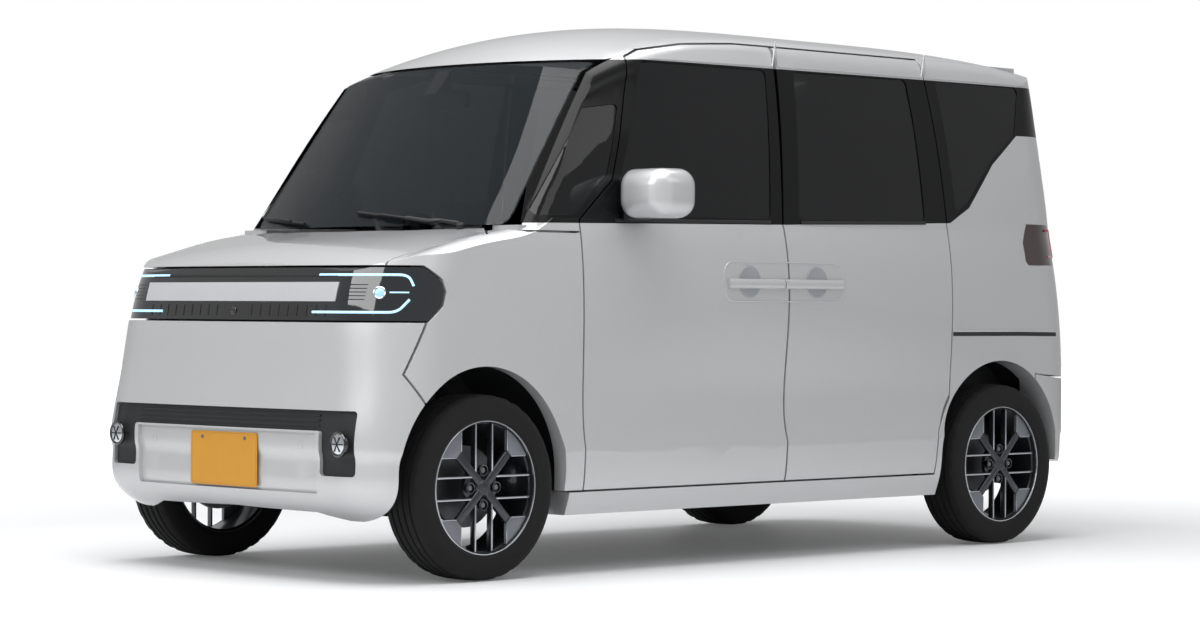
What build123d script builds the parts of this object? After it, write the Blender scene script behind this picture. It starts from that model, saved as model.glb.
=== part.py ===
from build123d import *
import os
from math import cos, radians, sin, sqrt

os.makedirs("parts", exist_ok=True)

# ---------------------------------------------------------------------------
# Kei car, millimetres.  +Z up, the nose points along -Y, the car's left is +X.
# Origin: on the ground under the middle of the car's length and width.
# ---------------------------------------------------------------------------

# Driving dimensions
LENGTH = 3395.0
WIDTH = 1475.0
HEIGHT = 1780.0
WHEELBASE = 2460.0
FRONT_OVERHANG = 452.0
TRACK = 1270.0
TYRE_RADIUS = 281.5
TYRE_WIDTH = 165.0
RIM_RADIUS = 198.0
BELT_Z = 1100.0
PANEL_GAP = 6.0
SEAT_GAP = 0.3
GLASS = 5.0
FLOOR_Z = 300.0
FLOOR_SHEET = 20.0

NOSE_Y = -LENGTH / 2
TAIL_Y = LENGTH / 2
HALF = WIDTH / 2
FRONT_AXLE_Y = NOSE_Y + FRONT_OVERHANG
REAR_AXLE_Y = FRONT_AXLE_Y + WHEELBASE
WHEEL_X = TRACK / 2

# Wheel arches
ARCH_RADIUS = 325.0
ARCH_Z = 322.0
FRONT_ARCH_Y = FRONT_AXLE_Y - 12.0
REAR_ARCH_Y = REAR_AXLE_Y - 20.0
LINER = 4.0
FRONT_WELL_X = 380.0
REAR_WELL_X = 515.0

# Plan sections of the body below the belt.
# Columns: height, nose set back, tail set back, side set in at the middle,
# at the nose and at the tail, corner radius at the nose and at the tail.
SKIRT_ROWS = [
    (185, 98, 98, 43, 37, 46, 190, 190),
    (222, 42, 52, 30, 24, 34, 194, 193),
    (262, 12, 26, 18, 13, 24, 196, 196),
    (320, 3, 14, 9, 7, 19, 198, 198),
    (390, 0, 8, 4, 4, 16, 200, 200),
]
SIDE_ROWS = [
    (390, 0, 8, 4, 4, 16, 200, 200),
    (480, 4, 0, 22, 6, 20, 205, 205),
    (600, 22, 0, 20, 12, 19, 215, 208),
    (800, 40, 6, 3, 30, 25, 230, 210),
    (940, 78, 18, 4, 38, 33, 240, 214),
    (1100, 137, 40, 31, 50, 47, 240, 218),
]
SIDE_CROWN = 24.0

# Plan sections of the glasshouse.
# Columns: height, front edge, rear edge set back from the tail, side set in at
# the middle, front and rear, sweep of the screen, corner radii front and rear.
GLASSHOUSE_ROWS = [
    (1060, -1212, 38, 28, 39, 45, 150, 60, 218),
    (1144, -1148, 43, 37, 50, 48, 143, 60, 218),
    (1473, -898, 97, 79, 90, 82, 118, 60, 180),
    (1622, -784, 127, 109, 125, 115, 106, 60, 125),
    (1800, -648, 160, 150, 165, 155, 95, 60, 100),
]

# Cross sections of the roof.  Columns: position along the car, drop of the
# centre line below the full height.
ROOF_ROWS = [
    (-1300, 540), (-790, 168), (-500, 60), (-100, 7), (500, 1), (1200, 11), (1480, 38), (1720, 94),
]
ROOF_EDGE_X = 570.0
ROOF_EDGE_DROP = 66.0
ROOF_SHOULDER = 60.0

# Cross sections of the bonnet and wing tops.
# Columns: set back from the nose, centre height, shoulder height.
BONNET_ROWS = [
    (-60, 850, 800), (58, 935, 895), (138, 988, 950), (250, 1022, 988), (385, 1047, 1024),
    (508, 1070, 1050), (650, 1096, 1080), (850, 1130, 1120),
]
SHOULDER_X = 625.0
SHOULDER_DROP = 88.0
LAP_X = 60.0


def corner_middle(start, end, corner):
    """Middle point of the round that joins two edges meeting at a corner."""
    to_start = Vector(*start) - Vector(*corner)
    to_end = Vector(*end) - Vector(*corner)
    reach = (to_start.length + to_end.length) / 2
    towards = (to_start.normalized() + to_end.normalized()).normalized()
    cosine = towards.dot(to_start.normalized())
    sine = sqrt(1 - cosine * cosine)
    point = Vector(*corner) + towards * (reach / cosine - reach * sine / cosine)
    return (point.X, point.Y)


def crown_drop(x, edge_x, edge_drop):
    """Drop at x of a round crown that falls by edge_drop from the middle to edge_x."""
    radius = (edge_x * edge_x + edge_drop * edge_drop) / (2 * edge_drop)
    return radius - sqrt(radius * radius - x * x)


def plan_outline(z, front, rear, half_mid, half_front, half_rear, sweep, crown, r_front, r_rear):
    """Left half of a plan outline with a swept front, a crowned rear and round corners."""
    front_x = half_front - r_front
    front_rise = sweep * (front_x / half_front) ** 2
    front_end = (front_x, front + front_rise)
    front_side = (half_front, front + sweep + r_front)
    front_arc = (front_x / 2, front + crown_drop(front_x / 2, front_x, front_rise))
    rear_x = half_rear - r_rear
    rear_rise = crown * (rear_x / half_rear) ** 2
    rear_end = (rear_x, rear - rear_rise)
    rear_side = (half_rear, rear - crown - r_rear)
    rear_arc = (rear_x / 2, rear - crown_drop(rear_x / 2, rear_x, rear_rise))
    with BuildSketch(Plane.XY.offset(z)) as outline:
        with BuildLine():
            ThreePointArc((0, front), front_arc, front_end)
            ThreePointArc(
                front_end, corner_middle(front_end, front_side, (half_front, front + sweep)), front_side)
            ThreePointArc(front_side, (half_mid, 0), rear_side)
            ThreePointArc(rear_side, corner_middle(rear_end, rear_side, (half_rear, rear - crown)), rear_end)
            ThreePointArc(rear_end, rear_arc, (0, rear))
            Line((0, rear), (0, front))
        make_face()
    return outline.sketch


def bonnet_cap(inset):
    """Solid whose upper face is the left of the bonnet and the wing top."""
    with BuildPart() as cap:
        tops = []
        for back, centre_z, shoulder_z in BONNET_ROWS:
            side = HALF + 1 - inset
            edge = SHOULDER_X - inset * 0.7
            high = shoulder_z - inset
            low = high - SHOULDER_DROP
            middle = corner_middle((edge, high), (side, low), (side, high - 6))
            with BuildSketch(Plane.XZ.offset(-(NOSE_Y + back + inset))) as top:
                with BuildLine():
                    start = (-LAP_X, centre_z - inset - crown_drop(LAP_X, edge, centre_z - shoulder_z))
                    half_drop = crown_drop(edge / 2, edge, centre_z - shoulder_z)
                    ThreePointArc(start, (edge / 2, centre_z - inset - half_drop), (edge, high))
                    ThreePointArc((edge, high), middle, (side, low))
                    Polyline((side, low), (side, 100), (-LAP_X, 100), start)
                make_face()
            tops.append(top.sketch)
        loft(sections=tops)
        with BuildSketch(Plane.XZ.offset(-(NOSE_Y + BONNET_ROWS[-1][0] - 10 + inset))):
            Rectangle(2 * WIDTH, 2 * HEIGHT)
        extrude(amount=-LENGTH)
    return cap.part


def lower_form(inset):
    """Left half of the body below the belt, moved in by inset on every side."""
    with BuildPart() as form:
        for table in (SKIRT_ROWS, SIDE_ROWS):
            sections = []
            for z, nose, tail, mid_in, nose_in, tail_in, r_nose, r_tail in table:
                sections.append(plan_outline(
                    z, NOSE_Y + nose + inset, TAIL_Y - tail - inset,
                    HALF - mid_in - inset, HALF - nose_in - inset, HALF - tail_in - inset,
                    SIDE_CROWN, SIDE_CROWN, r_nose - inset, r_tail - inset))
            loft(sections=sections)
        add(bonnet_cap(inset), mode=Mode.INTERSECT)
    return form.part


def roof_cap(inset):
    """Solid whose upper face is the left of the crowned roof, its side outside the glass."""
    with BuildPart() as cap:
        tops = []
        for y, drop in ROOF_ROWS:
            top_z = HEIGHT - drop - inset
            edge_x = ROOF_EDGE_X - inset * 0.6
            edge_z = top_z - ROOF_EDGE_DROP
            side_x = ROOF_EDGE_X + ROOF_SHOULDER - inset
            side_z = edge_z - SHOULDER_DROP
            foot_x = side_x + 150
            with BuildSketch(Plane.XZ.offset(-y)) as top:
                with BuildLine():
                    start = (-LAP_X, top_z - crown_drop(LAP_X, edge_x, ROOF_EDGE_DROP))
                    half_drop = crown_drop(edge_x / 2, edge_x, ROOF_EDGE_DROP)
                    ThreePointArc(start, (edge_x / 2, top_z - half_drop), (edge_x, edge_z))
                    ThreePointArc((edge_x, edge_z), (side_x - 20, edge_z - 30), (side_x, side_z))
                    Polyline((side_x, side_z), (foot_x, 900), (-LAP_X, 900), start)
                make_face()
            tops.append(top.sketch)
        loft(sections=tops)
    return cap.part


def upper_form(inset):
    """Left half of the glasshouse and roof, moved in by inset on every side."""
    with BuildPart() as form:
        sections = []
        for z, front, tail, mid_in, front_in, tail_in, sweep, r_front, r_rear in GLASSHOUSE_ROWS:
            sections.append(plan_outline(
                z, front + inset * 1.25, TAIL_Y - tail - inset,
                HALF - mid_in - inset, HALF - front_in - inset, HALF - tail_in - inset,
                sweep, SIDE_CROWN, max(r_front - inset, 12), r_rear - inset))
        loft(sections=sections)
        add(roof_cap(inset), mode=Mode.INTERSECT)
    return form.part


def side_prism(points, x_from=0.0, x_to=900.0, grow=0.0, radius=0.0):
    """Prism across the car from an outline of (y, z) points, grown and rounded."""
    with BuildPart() as prism:
        with BuildSketch(Plane.YZ.offset(x_from)) as outline:
            with BuildLine():
                Polyline(*points, close=True)
            make_face()
            if radius > 0:
                fillet(outline.vertices(), radius)
            if grow != 0:
                offset(amount=grow, kind=Kind.INTERSECTION)
        extrude(amount=x_to - x_from)
    return prism.part


def front_prism(points, y_from, y_to, grow=0.0, radius=0.0):
    """Prism along the car from an outline of (x, z) points, mirrored about the middle."""
    with BuildPart() as prism:
        with BuildSketch(Plane.XZ.offset(-y_from)) as outline:
            with BuildLine():
                Polyline(*points, close=True)
            make_face()
            if radius > 0:
                fillet(outline.vertices(), radius)
            if grow != 0:
                offset(amount=grow, kind=Kind.INTERSECTION)
        extrude(amount=y_from - y_to)
    return prism.part


def top_prism(points, z_from, z_to, grow=0.0):
    """Upright prism from the left half of an outline of (x, y) points, mirrored."""
    with BuildPart() as prism:
        with BuildSketch(Plane.XY.offset(z_from)):
            with BuildLine():
                Polyline(*points, *[(-x, y) for x, y in reversed(points) if x > 0], close=True)
            make_face()
            if grow != 0:
                offset(amount=grow, kind=Kind.INTERSECTION)
        extrude(amount=z_to - z_from)
    return prism.part


def both_sides(shape):
    """The shape and its mirror image across the car's middle plane."""
    with BuildPart() as pair:
        add(shape)
        mirror(about=Plane.YZ)
    return pair.part


def block(x0, x1, y0, y1, z0, z1):
    """Box between two corners."""
    with BuildPart() as box:
        with BuildSketch(Plane.XY.offset(z0)):
            with BuildLine():
                Polyline((x0, y0), (x1, y0), (x1, y1), (x0, y1), close=True)
            make_face()
        extrude(amount=z1 - z0)
    return box.part


def arch_cut(radius, y, x_inner):
    """Round-topped cut for the wheels of one axle, on both sides of the car."""
    with BuildPart() as cut:
        with BuildSketch(Plane.YZ.offset(x_inner)):
            with BuildLine():
                Line((y + radius, 0), (y + radius, ARCH_Z))
                ThreePointArc((y + radius, ARCH_Z), (y, ARCH_Z + radius), (y - radius, ARCH_Z))
                Polyline((y - radius, ARCH_Z), (y - radius, 0), (y + radius, 0))
            make_face()
        extrude(amount=500)
        mirror(about=Plane.YZ)
    return cut.part


# Panel outlines as (y, z) points.
ROOF_SEAM_Z = HEIGHT - 88
ROOF_REAR_Y = 1490
DOOR_BOTTOM_Z = 262
DOOR_SPLIT_Y = 67
DOOR_SPLIT_GAP = 8
DOOR_LEAN = 48
SWING_GAP = 10
DOOR_FRONT_Y = -850
SLIDER_REAR_Y = 916
SILL_TOP_Z = DOOR_BOTTOM_Z - PANEL_GAP
SLIDER_FRONT_Y = DOOR_SPLIT_Y + DOOR_SPLIT_GAP
DOOR_OUTLINE = [
    (DOOR_FRONT_Y, DOOR_BOTTOM_Z), (DOOR_FRONT_Y, 1092), (-694, 1222), (-556, HEIGHT - 158),
    (-490, HEIGHT - 132), (-300, HEIGHT - 103), (-60, ROOF_SEAM_Z),
    (DOOR_SPLIT_Y + DOOR_LEAN - SWING_GAP, ROOF_SEAM_Z),
    (DOOR_SPLIT_Y, BELT_Z), (DOOR_SPLIT_Y, DOOR_BOTTOM_Z),
]
SLIDER_OUTLINE = [
    (SLIDER_FRONT_Y, DOOR_BOTTOM_Z), (SLIDER_FRONT_Y, BELT_Z),
    (SLIDER_FRONT_Y + DOOR_LEAN, ROOF_SEAM_Z), (862, ROOF_SEAM_Z), (SLIDER_REAR_Y, BELT_Z),
    (SLIDER_REAR_Y, 520), (REAR_ARCH_Y - 350, 400), (REAR_ARCH_Y - 360, DOOR_BOTTOM_Z),
]
DOOR_WINDOW = [(-780, 1116), (-655, 1240), (-510, HEIGHT - 168), (60, HEIGHT - 168), (14, 1118)]
SLIDER_WINDOW = [(152, 1120), (196, HEIGHT - 166), (772, HEIGHT - 162), (800, 1130)]
QUARTER_WINDOW = [
    (970, 1160), (930, HEIGHT - 158), (1400, HEIGHT - 158), (1335, 1447), (1192, 1350), (1046, 1200),
]
FRONT_QUARTER = [(-1040, 1108), (-872, 1114), (-716, 1240), (-632, 1470), (-780, 1450)]
ROOF_OUTLINE = [
    (-900, HEIGHT - 167), (-566, HEIGHT - 167), (-562, HEIGHT - 152), (-490, HEIGHT - 124),
    (-300, HEIGHT - 95), (-60, ROOF_SEAM_Z + PANEL_GAP), (ROOF_REAR_Y, ROOF_SEAM_Z + PANEL_GAP),
    (ROOF_REAR_Y, HEIGHT + 60), (-900, HEIGHT + 60),
]
LAMP_TOP_Z = 942
LAMP_BOTTOM_Z = 783
WING_OUTLINE = [
    (DOOR_FRONT_Y - PANEL_GAP, DOOR_BOTTOM_Z), (DOOR_FRONT_Y - PANEL_GAP, 1200), (NOSE_Y + 30, 1200),
    (NOSE_Y + 30, LAMP_TOP_Z + PANEL_GAP), (NOSE_Y + 234, LAMP_TOP_Z + PANEL_GAP), (NOSE_Y + 286, 908),
    (NOSE_Y + 298, 869), (NOSE_Y + 284, 828), (NOSE_Y + 226, 777), (NOSE_Y + 146, 624),
    (NOSE_Y + 240, 480), (FRONT_ARCH_Y, 400), (FRONT_ARCH_Y + 317, 300), (FRONT_ARCH_Y + 317, DOOR_BOTTOM_Z),
]
LAMP_OUTLINE = [
    (NOSE_Y - 50, LAMP_TOP_Z), (NOSE_Y + 230, LAMP_TOP_Z), (NOSE_Y + 278, 905), (NOSE_Y + 291, 869),
    (NOSE_Y + 278, 831), (NOSE_Y + 230, LAMP_BOTTOM_Z), (NOSE_Y - 50, LAMP_BOTTOM_Z),
]
BUMPER_OUTLINE = [
    (NOSE_Y - 50, 100), (NOSE_Y - 50, LAMP_BOTTOM_Z - PANEL_GAP), (NOSE_Y + 216, LAMP_BOTTOM_Z - PANEL_GAP),
    (NOSE_Y + 138, 624), (NOSE_Y + 230, 480), (NOSE_Y + 230, 100),
]
REAR_BUMPER_OUTLINE = [
    (REAR_ARCH_Y + 200, 596), (TAIL_Y - 140, 580), (TAIL_Y + 50, 580), (TAIL_Y + 50, 262),
    (TAIL_Y - 190, 290), (REAR_ARCH_Y + 200, 290),
]
TAIL_LAMP_OUTLINE = [
    (TAIL_Y - 346, 1000), (TAIL_Y - 356, 1065), (TAIL_Y - 330, 1132), (TAIL_Y + 50, 1132), (TAIL_Y + 50, 985),
    (TAIL_Y - 330, 985),
]

# Outlines seen from the front or above, as (x, z) or (x, y) points.
SCREEN_OUTLINE = [(-612, 1078), (-566, HEIGHT - 176), (566, HEIGHT - 176), (612, 1078)]
TAILGATE_OUTLINE = [
    (-540, 590), (-540, 1180), (-572, HEIGHT - 100), (-572, HEIGHT + 60),
    (572, HEIGHT + 60), (572, HEIGHT - 100), (540, 1180), (540, 590),
]
TAILGATE_WINDOW = [(-486, 1150), (-478, HEIGHT - 190), (478, HEIGHT - 190), (486, 1150)]
BONNET_OUTLINE = [
    (0, -1240), (300, -1210), (548, -1113), (650, -1197), (606, NOSE_Y + 273), (598, NOSE_Y + 190),
    (598, NOSE_Y - 60), (0, NOSE_Y - 60),
]
COWL_OUTLINE = [(0, -1234), (302, -1204), (548, -1107), (548, -1000), (0, -1000)]
PILLAR_FOOT = [
    (0, -1230), (600, -1230), (610, -1120), (660, -1104), (698, -1062), (706, -1000), (706, -700), (0, -700),
]

# Floor, pillars and wheel wells
FIREWALL_Y = -985
WELL_RADIUS = ARCH_RADIUS + 20
FRAME_INNER_X = HALF - 181
POST_X = FRAME_INNER_X + 56
FLOOR_HALF = FRAME_INNER_X - SEAT_GAP
FRAME_BOTTOM_Z = 190
FLOOR_REAR_Z = 420
FLOOR_TOP_Z = FLOOR_Z + FLOOR_SHEET
WING_INNER_X = HALF - 60
DOOR_INNER_X = HALF - 98
FRAME_TOP_X = 573
REAR_WALL_Y = TAIL_Y - 58

front_arches = arch_cut(ARCH_RADIUS, FRONT_ARCH_Y, FRONT_WELL_X)
rear_arches = arch_cut(ARCH_RADIUS, REAR_ARCH_Y, REAR_WELL_X)
front_wells = arch_cut(WELL_RADIUS + LINER, FRONT_ARCH_Y, FRONT_WELL_X - LINER)
rear_wells = arch_cut(WELL_RADIUS + LINER, REAR_ARCH_Y, REAR_WELL_X - LINER)

# Inside of the cabin: the panels are what is left between it and the outside.
CABIN_SECTION = [
    (DOOR_INNER_X, 150), (DOOR_INNER_X, 1060), (HALF - 74, 1060), (HALF - 156, HEIGHT - 140),
    (520, HEIGHT - 110), (300, HEIGHT - 68), (-300, HEIGHT - 68), (-520, HEIGHT - 110),
    (156 - HALF, HEIGHT - 140), (74 - HALF, 1060), (-DOOR_INNER_X, 1060), (-DOOR_INNER_X, 150),
]
CABIN_SIDE = [
    (FIREWALL_Y, 150), (FIREWALL_Y, 1040), (-1130, 1056), (-735, HEIGHT - 190), (-500, HEIGHT - 140),
    (-250, HEIGHT - 90), (100, HEIGHT - 50), (1300, HEIGHT - 58), (1480, HEIGHT - 130),
    (TAIL_Y - 165, HEIGHT - 190),
    (TAIL_Y - 90, 1080), (REAR_WALL_Y, 900), (REAR_WALL_Y, 600), (TAIL_Y - 100, 300), (TAIL_Y - 100, 150),
]
CABIN_PLAN = [
    (0, -1200), (700, -1200), (700, 1250), (640, TAIL_Y - 300), (560, TAIL_Y - 190), (480, TAIL_Y - 140),
    (0, TAIL_Y - 40),
]
BAY_SIDE = [
    (NOSE_Y + 40, 150), (NOSE_Y + 40, 880), (NOSE_Y + 137, 915), (NOSE_Y + 190, 930), (NOSE_Y + 300, 965),
    (NOSE_Y + 507, 1015), (FIREWALL_Y - FLOOR_SHEET, 1040), (DOOR_FRONT_Y + 200, 1060),
    (DOOR_FRONT_Y + 200, 150),
]
BAY_PLAN = [
    (0, NOSE_Y + 52), (380, NOSE_Y + 66), (540, NOSE_Y + 130), (630, NOSE_Y + 270),
    (WING_INNER_X, NOSE_Y + 450),
    (WING_INNER_X, DOOR_FRONT_Y + 100), (0, DOOR_FRONT_Y + 100),
]
with BuildPart() as cabin_space:
    add(front_prism(CABIN_SECTION, -1250, TAIL_Y))
    add(side_prism(CABIN_SIDE, -900, 900), mode=Mode.INTERSECT)
    add(top_prism(CABIN_PLAN, 100, HEIGHT), mode=Mode.INTERSECT)

with BuildPart() as bay_space:
    add(side_prism(BAY_SIDE, -900, 900))
    add(top_prism(BAY_PLAN, 100, HEIGHT), mode=Mode.INTERSECT)

RECESS = 4.0
INSERT_DEPTH = 12.0
low_outer = lower_form(0)
low_recess = lower_form(RECESS)
low_insert = lower_form(INSERT_DEPTH)
top_outer = upper_form(0)

with BuildPart() as outer:
    add(low_outer)
    add(top_outer)

# Body shell ----------------------------------------------------------------
RAIL_X = FRAME_TOP_X - 7
RAIL_TOP_Z = ROOF_SEAM_Z + PANEL_GAP - SEAT_GAP
RAIL_SIDE = [
    (-690, HEIGHT - 198), (-640, HEIGHT - 190), (-480, HEIGHT - 130), (-300, HEIGHT - 96),
    (-60, RAIL_TOP_Z), (1450, RAIL_TOP_Z),
    (1450, HEIGHT - 125), (-280, HEIGHT - 125), (-560, HEIGHT - 215), (-690, HEIGHT - 260),
]
HINGE_POST_Y = DOOR_FRONT_Y - 14
HINGE_POST_X = HALF - 64
COWL_SIDE_Y = -1085
SILL_FRONT_Y = FRONT_ARCH_Y + 200
SILL_REAR_Y = REAR_ARCH_Y - 200
with BuildPart() as sills:
    add(block(-900, 900, SILL_FRONT_Y, SILL_REAR_Y, 150, SILL_TOP_Z))
    add(block(-FRAME_INNER_X, FRAME_INNER_X, -1500, 1500, 0, 400), mode=Mode.SUBTRACT)
    add(low_outer, mode=Mode.INTERSECT)

with BuildPart() as inner_frame:
    add(sills.part)
    add(block(FRAME_INNER_X, POST_X, 20, 110, FRAME_BOTTOM_Z, BELT_Z))
    add(block(FRAME_INNER_X, HALF - 86, 20, 110, 1066, BELT_Z))
    add(block(FRAME_INNER_X, POST_X, FIREWALL_Y - 60, HINGE_POST_Y, FRAME_BOTTOM_Z, 1040))
    add(block(FRAME_INNER_X, HINGE_POST_X, COWL_SIDE_Y, HINGE_POST_Y, 990, 1077))
    add(block(FRAME_INNER_X, POST_X, FIREWALL_Y - 60, REAR_ARCH_Y - 352, FRAME_BOTTOM_Z, FLOOR_TOP_Z))
    add(side_prism(RAIL_SIDE, 515, RAIL_X))
    with BuildSketch(Plane.XZ.offset(-20)):
        with BuildLine():
            Polyline(
                (HALF - 112, BELT_Z - 20), (HALF - 86, BELT_Z - 20), (RAIL_X, HEIGHT - 100),
                (RAIL_X - 30, HEIGHT - 100), close=True)
        make_face()
    extrude(amount=-90)

with BuildPart() as shell_half:
    add(outer.part)
    add(block(-900, 900, FIREWALL_Y - 300, TAIL_Y + 50, 190, ROOF_SEAM_Z + PANEL_GAP), mode=Mode.INTERSECT)
    shell_cuts = [
        cabin_space.part,
        block(-900, 900, -1400, SLIDER_REAR_Y - 150, 100, 1062),
        block(-640, 640, -1400, -1090, 1000, 1079),
        block(-FRAME_TOP_X, FRAME_TOP_X, -900, 1480, 1600, 1700),
        side_prism(ROOF_OUTLINE, -900, 900),
        side_prism(REAR_BUMPER_OUTLINE, -900, 900, grow=PANEL_GAP),
        front_prism(TAILGATE_OUTLINE, ROOF_REAR_Y, TAIL_Y + 60, grow=PANEL_GAP),
        block(-900, 900, ROOF_REAR_Y, TAIL_Y + 50, 0, 585),
        front_prism(SCREEN_OUTLINE, -1400, -600, radius=30),
        side_prism(TAIL_LAMP_OUTLINE, 400, 900),
        side_prism(TAIL_LAMP_OUTLINE, -900, -400),
    ]
    for outline, edge, round_off in (
        (DOOR_OUTLINE, PANEL_GAP, 0), (SLIDER_OUTLINE, PANEL_GAP, 0), (QUARTER_WINDOW, 0, 20),
        (FRONT_QUARTER, 0, 14),
    ):
        shell_cuts.append(side_prism(outline, -900, 900, grow=edge, radius=round_off))
    add(shell_cuts, mode=Mode.SUBTRACT)
    add(inner_frame.part)
    add([front_wells, rear_arches], mode=Mode.SUBTRACT)

with BuildPart() as body_shell:
    add(shell_half.part.solids().sort_by(SortBy.VOLUME)[-1])
    mirror(about=Plane.YZ)
body_shell.part.label = "body_shell"
export_step(body_shell.part, "parts/body_shell.step")

# Roof ----------------------------------------------------------------------
with BuildPart() as roof_panel:
    add(top_outer)
    add(side_prism(ROOF_OUTLINE, -900, 900), mode=Mode.INTERSECT)
    add(cabin_space.part, mode=Mode.SUBTRACT)
    mirror(about=Plane.YZ)
roof_panel.part.label = "roof_panel"
export_step(roof_panel.part, "parts/roof_panel.step")

# Front doors ---------------------------------------------------------------
HINGE_BEVEL = 16
with BuildPart() as front_door_left:
    add(outer.part)
    add(side_prism(DOOR_OUTLINE, 400), mode=Mode.INTERSECT)
    add(
        [cabin_space.part, block(0, FRAME_TOP_X, -1000, 1000, 1500, HEIGHT),
         block(0, HALF - 40, DOOR_SPLIT_Y - HINGE_BEVEL, DOOR_SPLIT_Y + 60, 200, BELT_Z - 50),
         side_prism(DOOR_WINDOW, radius=20)],
        mode=Mode.SUBTRACT)
front_door_left.part.label = "front_door_left"
export_step(front_door_left.part, "parts/front_door_left.step")

with BuildPart() as front_door_right:
    add(front_door_left.part.mirror(Plane.YZ))
front_door_right.part.label = "front_door_right"
export_step(front_door_right.part, "parts/front_door_right.step")

# Glass ---------------------------------------------------------------------
GLASS_SET = 3.0
top_glass = upper_form(GLASS_SET)
top_glass_back = upper_form(GLASS_SET + GLASS)


def side_pane(outline, round_off, x_from):
    """Curved pane that fills a side window outline."""
    with BuildPart() as pane:
        add(side_prism(outline, x_from, 900, radius=round_off, grow=-SEAT_GAP))
        add(top_glass, mode=Mode.INTERSECT)
        add(top_glass_back, mode=Mode.SUBTRACT)
    return pane.part


def end_pane(outline, round_off, y_from, y_to):
    """Curved pane that fills a window outline in the front or the rear."""
    with BuildPart() as pane:
        add(front_prism(outline, y_from, y_to, radius=round_off, grow=-SEAT_GAP))
        add(top_glass, mode=Mode.INTERSECT)
        add(top_glass_back, mode=Mode.SUBTRACT)
        mirror(about=Plane.YZ)
    return pane.part


with BuildPart() as door_glass_left:
    add(side_pane(DOOR_WINDOW, 20, 400))
door_glass_left.part.label = "door_glass_left"
export_step(door_glass_left.part, "parts/door_glass_left.step")

with BuildPart() as door_glass_right:
    add(door_glass_left.part.mirror(Plane.YZ))
door_glass_right.part.label = "door_glass_right"
export_step(door_glass_right.part, "parts/door_glass_right.step")

with BuildPart() as side_windows:
    for outline, round_off in ((SLIDER_WINDOW, 20), (QUARTER_WINDOW, 20), (FRONT_QUARTER, 14)):
        add(both_sides(side_pane(outline, round_off, 400)))
side_windows.part.label = "side_windows"
export_step(side_windows.part, "parts/side_windows.step")

with BuildPart() as windscreen:
    add(end_pane(SCREEN_OUTLINE, 30, -1400, -600))
windscreen.part.label = "windscreen"
export_step(windscreen.part, "parts/windscreen.step")

with BuildPart() as tailgate_glass:
    add(end_pane(TAILGATE_WINDOW, 40, ROOF_REAR_Y - 10, TAIL_Y + 60))
tailgate_glass.part.label = "tailgate_glass"
export_step(tailgate_glass.part, "parts/tailgate_glass.step")

# Sliding doors -------------------------------------------------------------
with BuildPart() as sliding_door_left:
    add(outer.part)
    add(side_prism(SLIDER_OUTLINE, 400), mode=Mode.INTERSECT)
    add(
        [cabin_space.part, block(0, FRAME_TOP_X, -1000, 1500, 1500, HEIGHT), rear_wells,
         side_prism(SLIDER_WINDOW, radius=20)],
        mode=Mode.SUBTRACT)
sliding_door_left.part.label = "sliding_door_left"
export_step(sliding_door_left.part, "parts/sliding_door_left.step")

with BuildPart() as sliding_door_right:
    add(sliding_door_left.part.mirror(Plane.YZ))
sliding_door_right.part.label = "sliding_door_right"
export_step(sliding_door_right.part, "parts/sliding_door_right.step")

# Tailgate ------------------------------------------------------------------
with BuildPart() as tailgate:
    add(outer.part)
    add(front_prism(TAILGATE_OUTLINE, ROOF_REAR_Y + PANEL_GAP, TAIL_Y + 60), mode=Mode.INTERSECT)
    add(
        [cabin_space.part, front_prism(TAILGATE_WINDOW, ROOF_REAR_Y - 10, TAIL_Y + 60, radius=40)],
        mode=Mode.SUBTRACT)
    mirror(about=Plane.YZ)
tailgate.part.label = "tailgate"
export_step(tailgate.part, "parts/tailgate.step")

with BuildPart() as tail_lamps:
    add(outer.part)
    add(side_prism(TAIL_LAMP_OUTLINE, -900, 900, grow=-1), mode=Mode.INTERSECT)
    add(
        [cabin_space.part, front_prism(TAILGATE_OUTLINE, 1200, TAIL_Y + 60, grow=PANEL_GAP)],
        mode=Mode.SUBTRACT)
    mirror(about=Plane.YZ)
tail_lamps.part.label = "tail_lamps"
export_step(tail_lamps.part, "parts/tail_lamps.step")

with BuildPart() as rear_bumper:
    add(low_outer)
    add(side_prism(REAR_BUMPER_OUTLINE, -900, 900), mode=Mode.INTERSECT)
    add([cabin_space.part, rear_arches], mode=Mode.SUBTRACT)
    mirror(about=Plane.YZ)
rear_bumper.part.label = "rear_bumper"
export_step(rear_bumper.part, "parts/rear_bumper.step")

# Front end -----------------------------------------------------------------
with BuildPart() as bonnet:
    add(low_outer)
    add(top_prism(BONNET_OUTLINE, LAMP_TOP_Z + PANEL_GAP, 1300), mode=Mode.INTERSECT)
    add(bay_space.part, mode=Mode.SUBTRACT)
    mirror(about=Plane.YZ)
bonnet.part.label = "bonnet"
export_step(bonnet.part, "parts/bonnet.step")

with BuildPart() as front_fenders:
    add(low_outer)
    add(side_prism(WING_OUTLINE, -900, 900), mode=Mode.INTERSECT)
    add(
        [bay_space.part, top_prism(BONNET_OUTLINE, 700, 1300, grow=PANEL_GAP),
         block(-FRAME_INNER_X, FRAME_INNER_X, -2000, 0, 0, 1300), top_prism(COWL_OUTLINE, 900, 1300),
         block(-HINGE_POST_X - SEAT_GAP, HINGE_POST_X + SEAT_GAP, COWL_SIDE_Y - SEAT_GAP, 0, 900, 1090),
         front_arches, top_prism(PILLAR_FOOT, 1055, 1300)],
        mode=Mode.SUBTRACT)
    mirror(about=Plane.YZ)
front_fenders.part.label = "front_fenders"
export_step(front_fenders.part, "parts/front_fenders.step")

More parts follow.
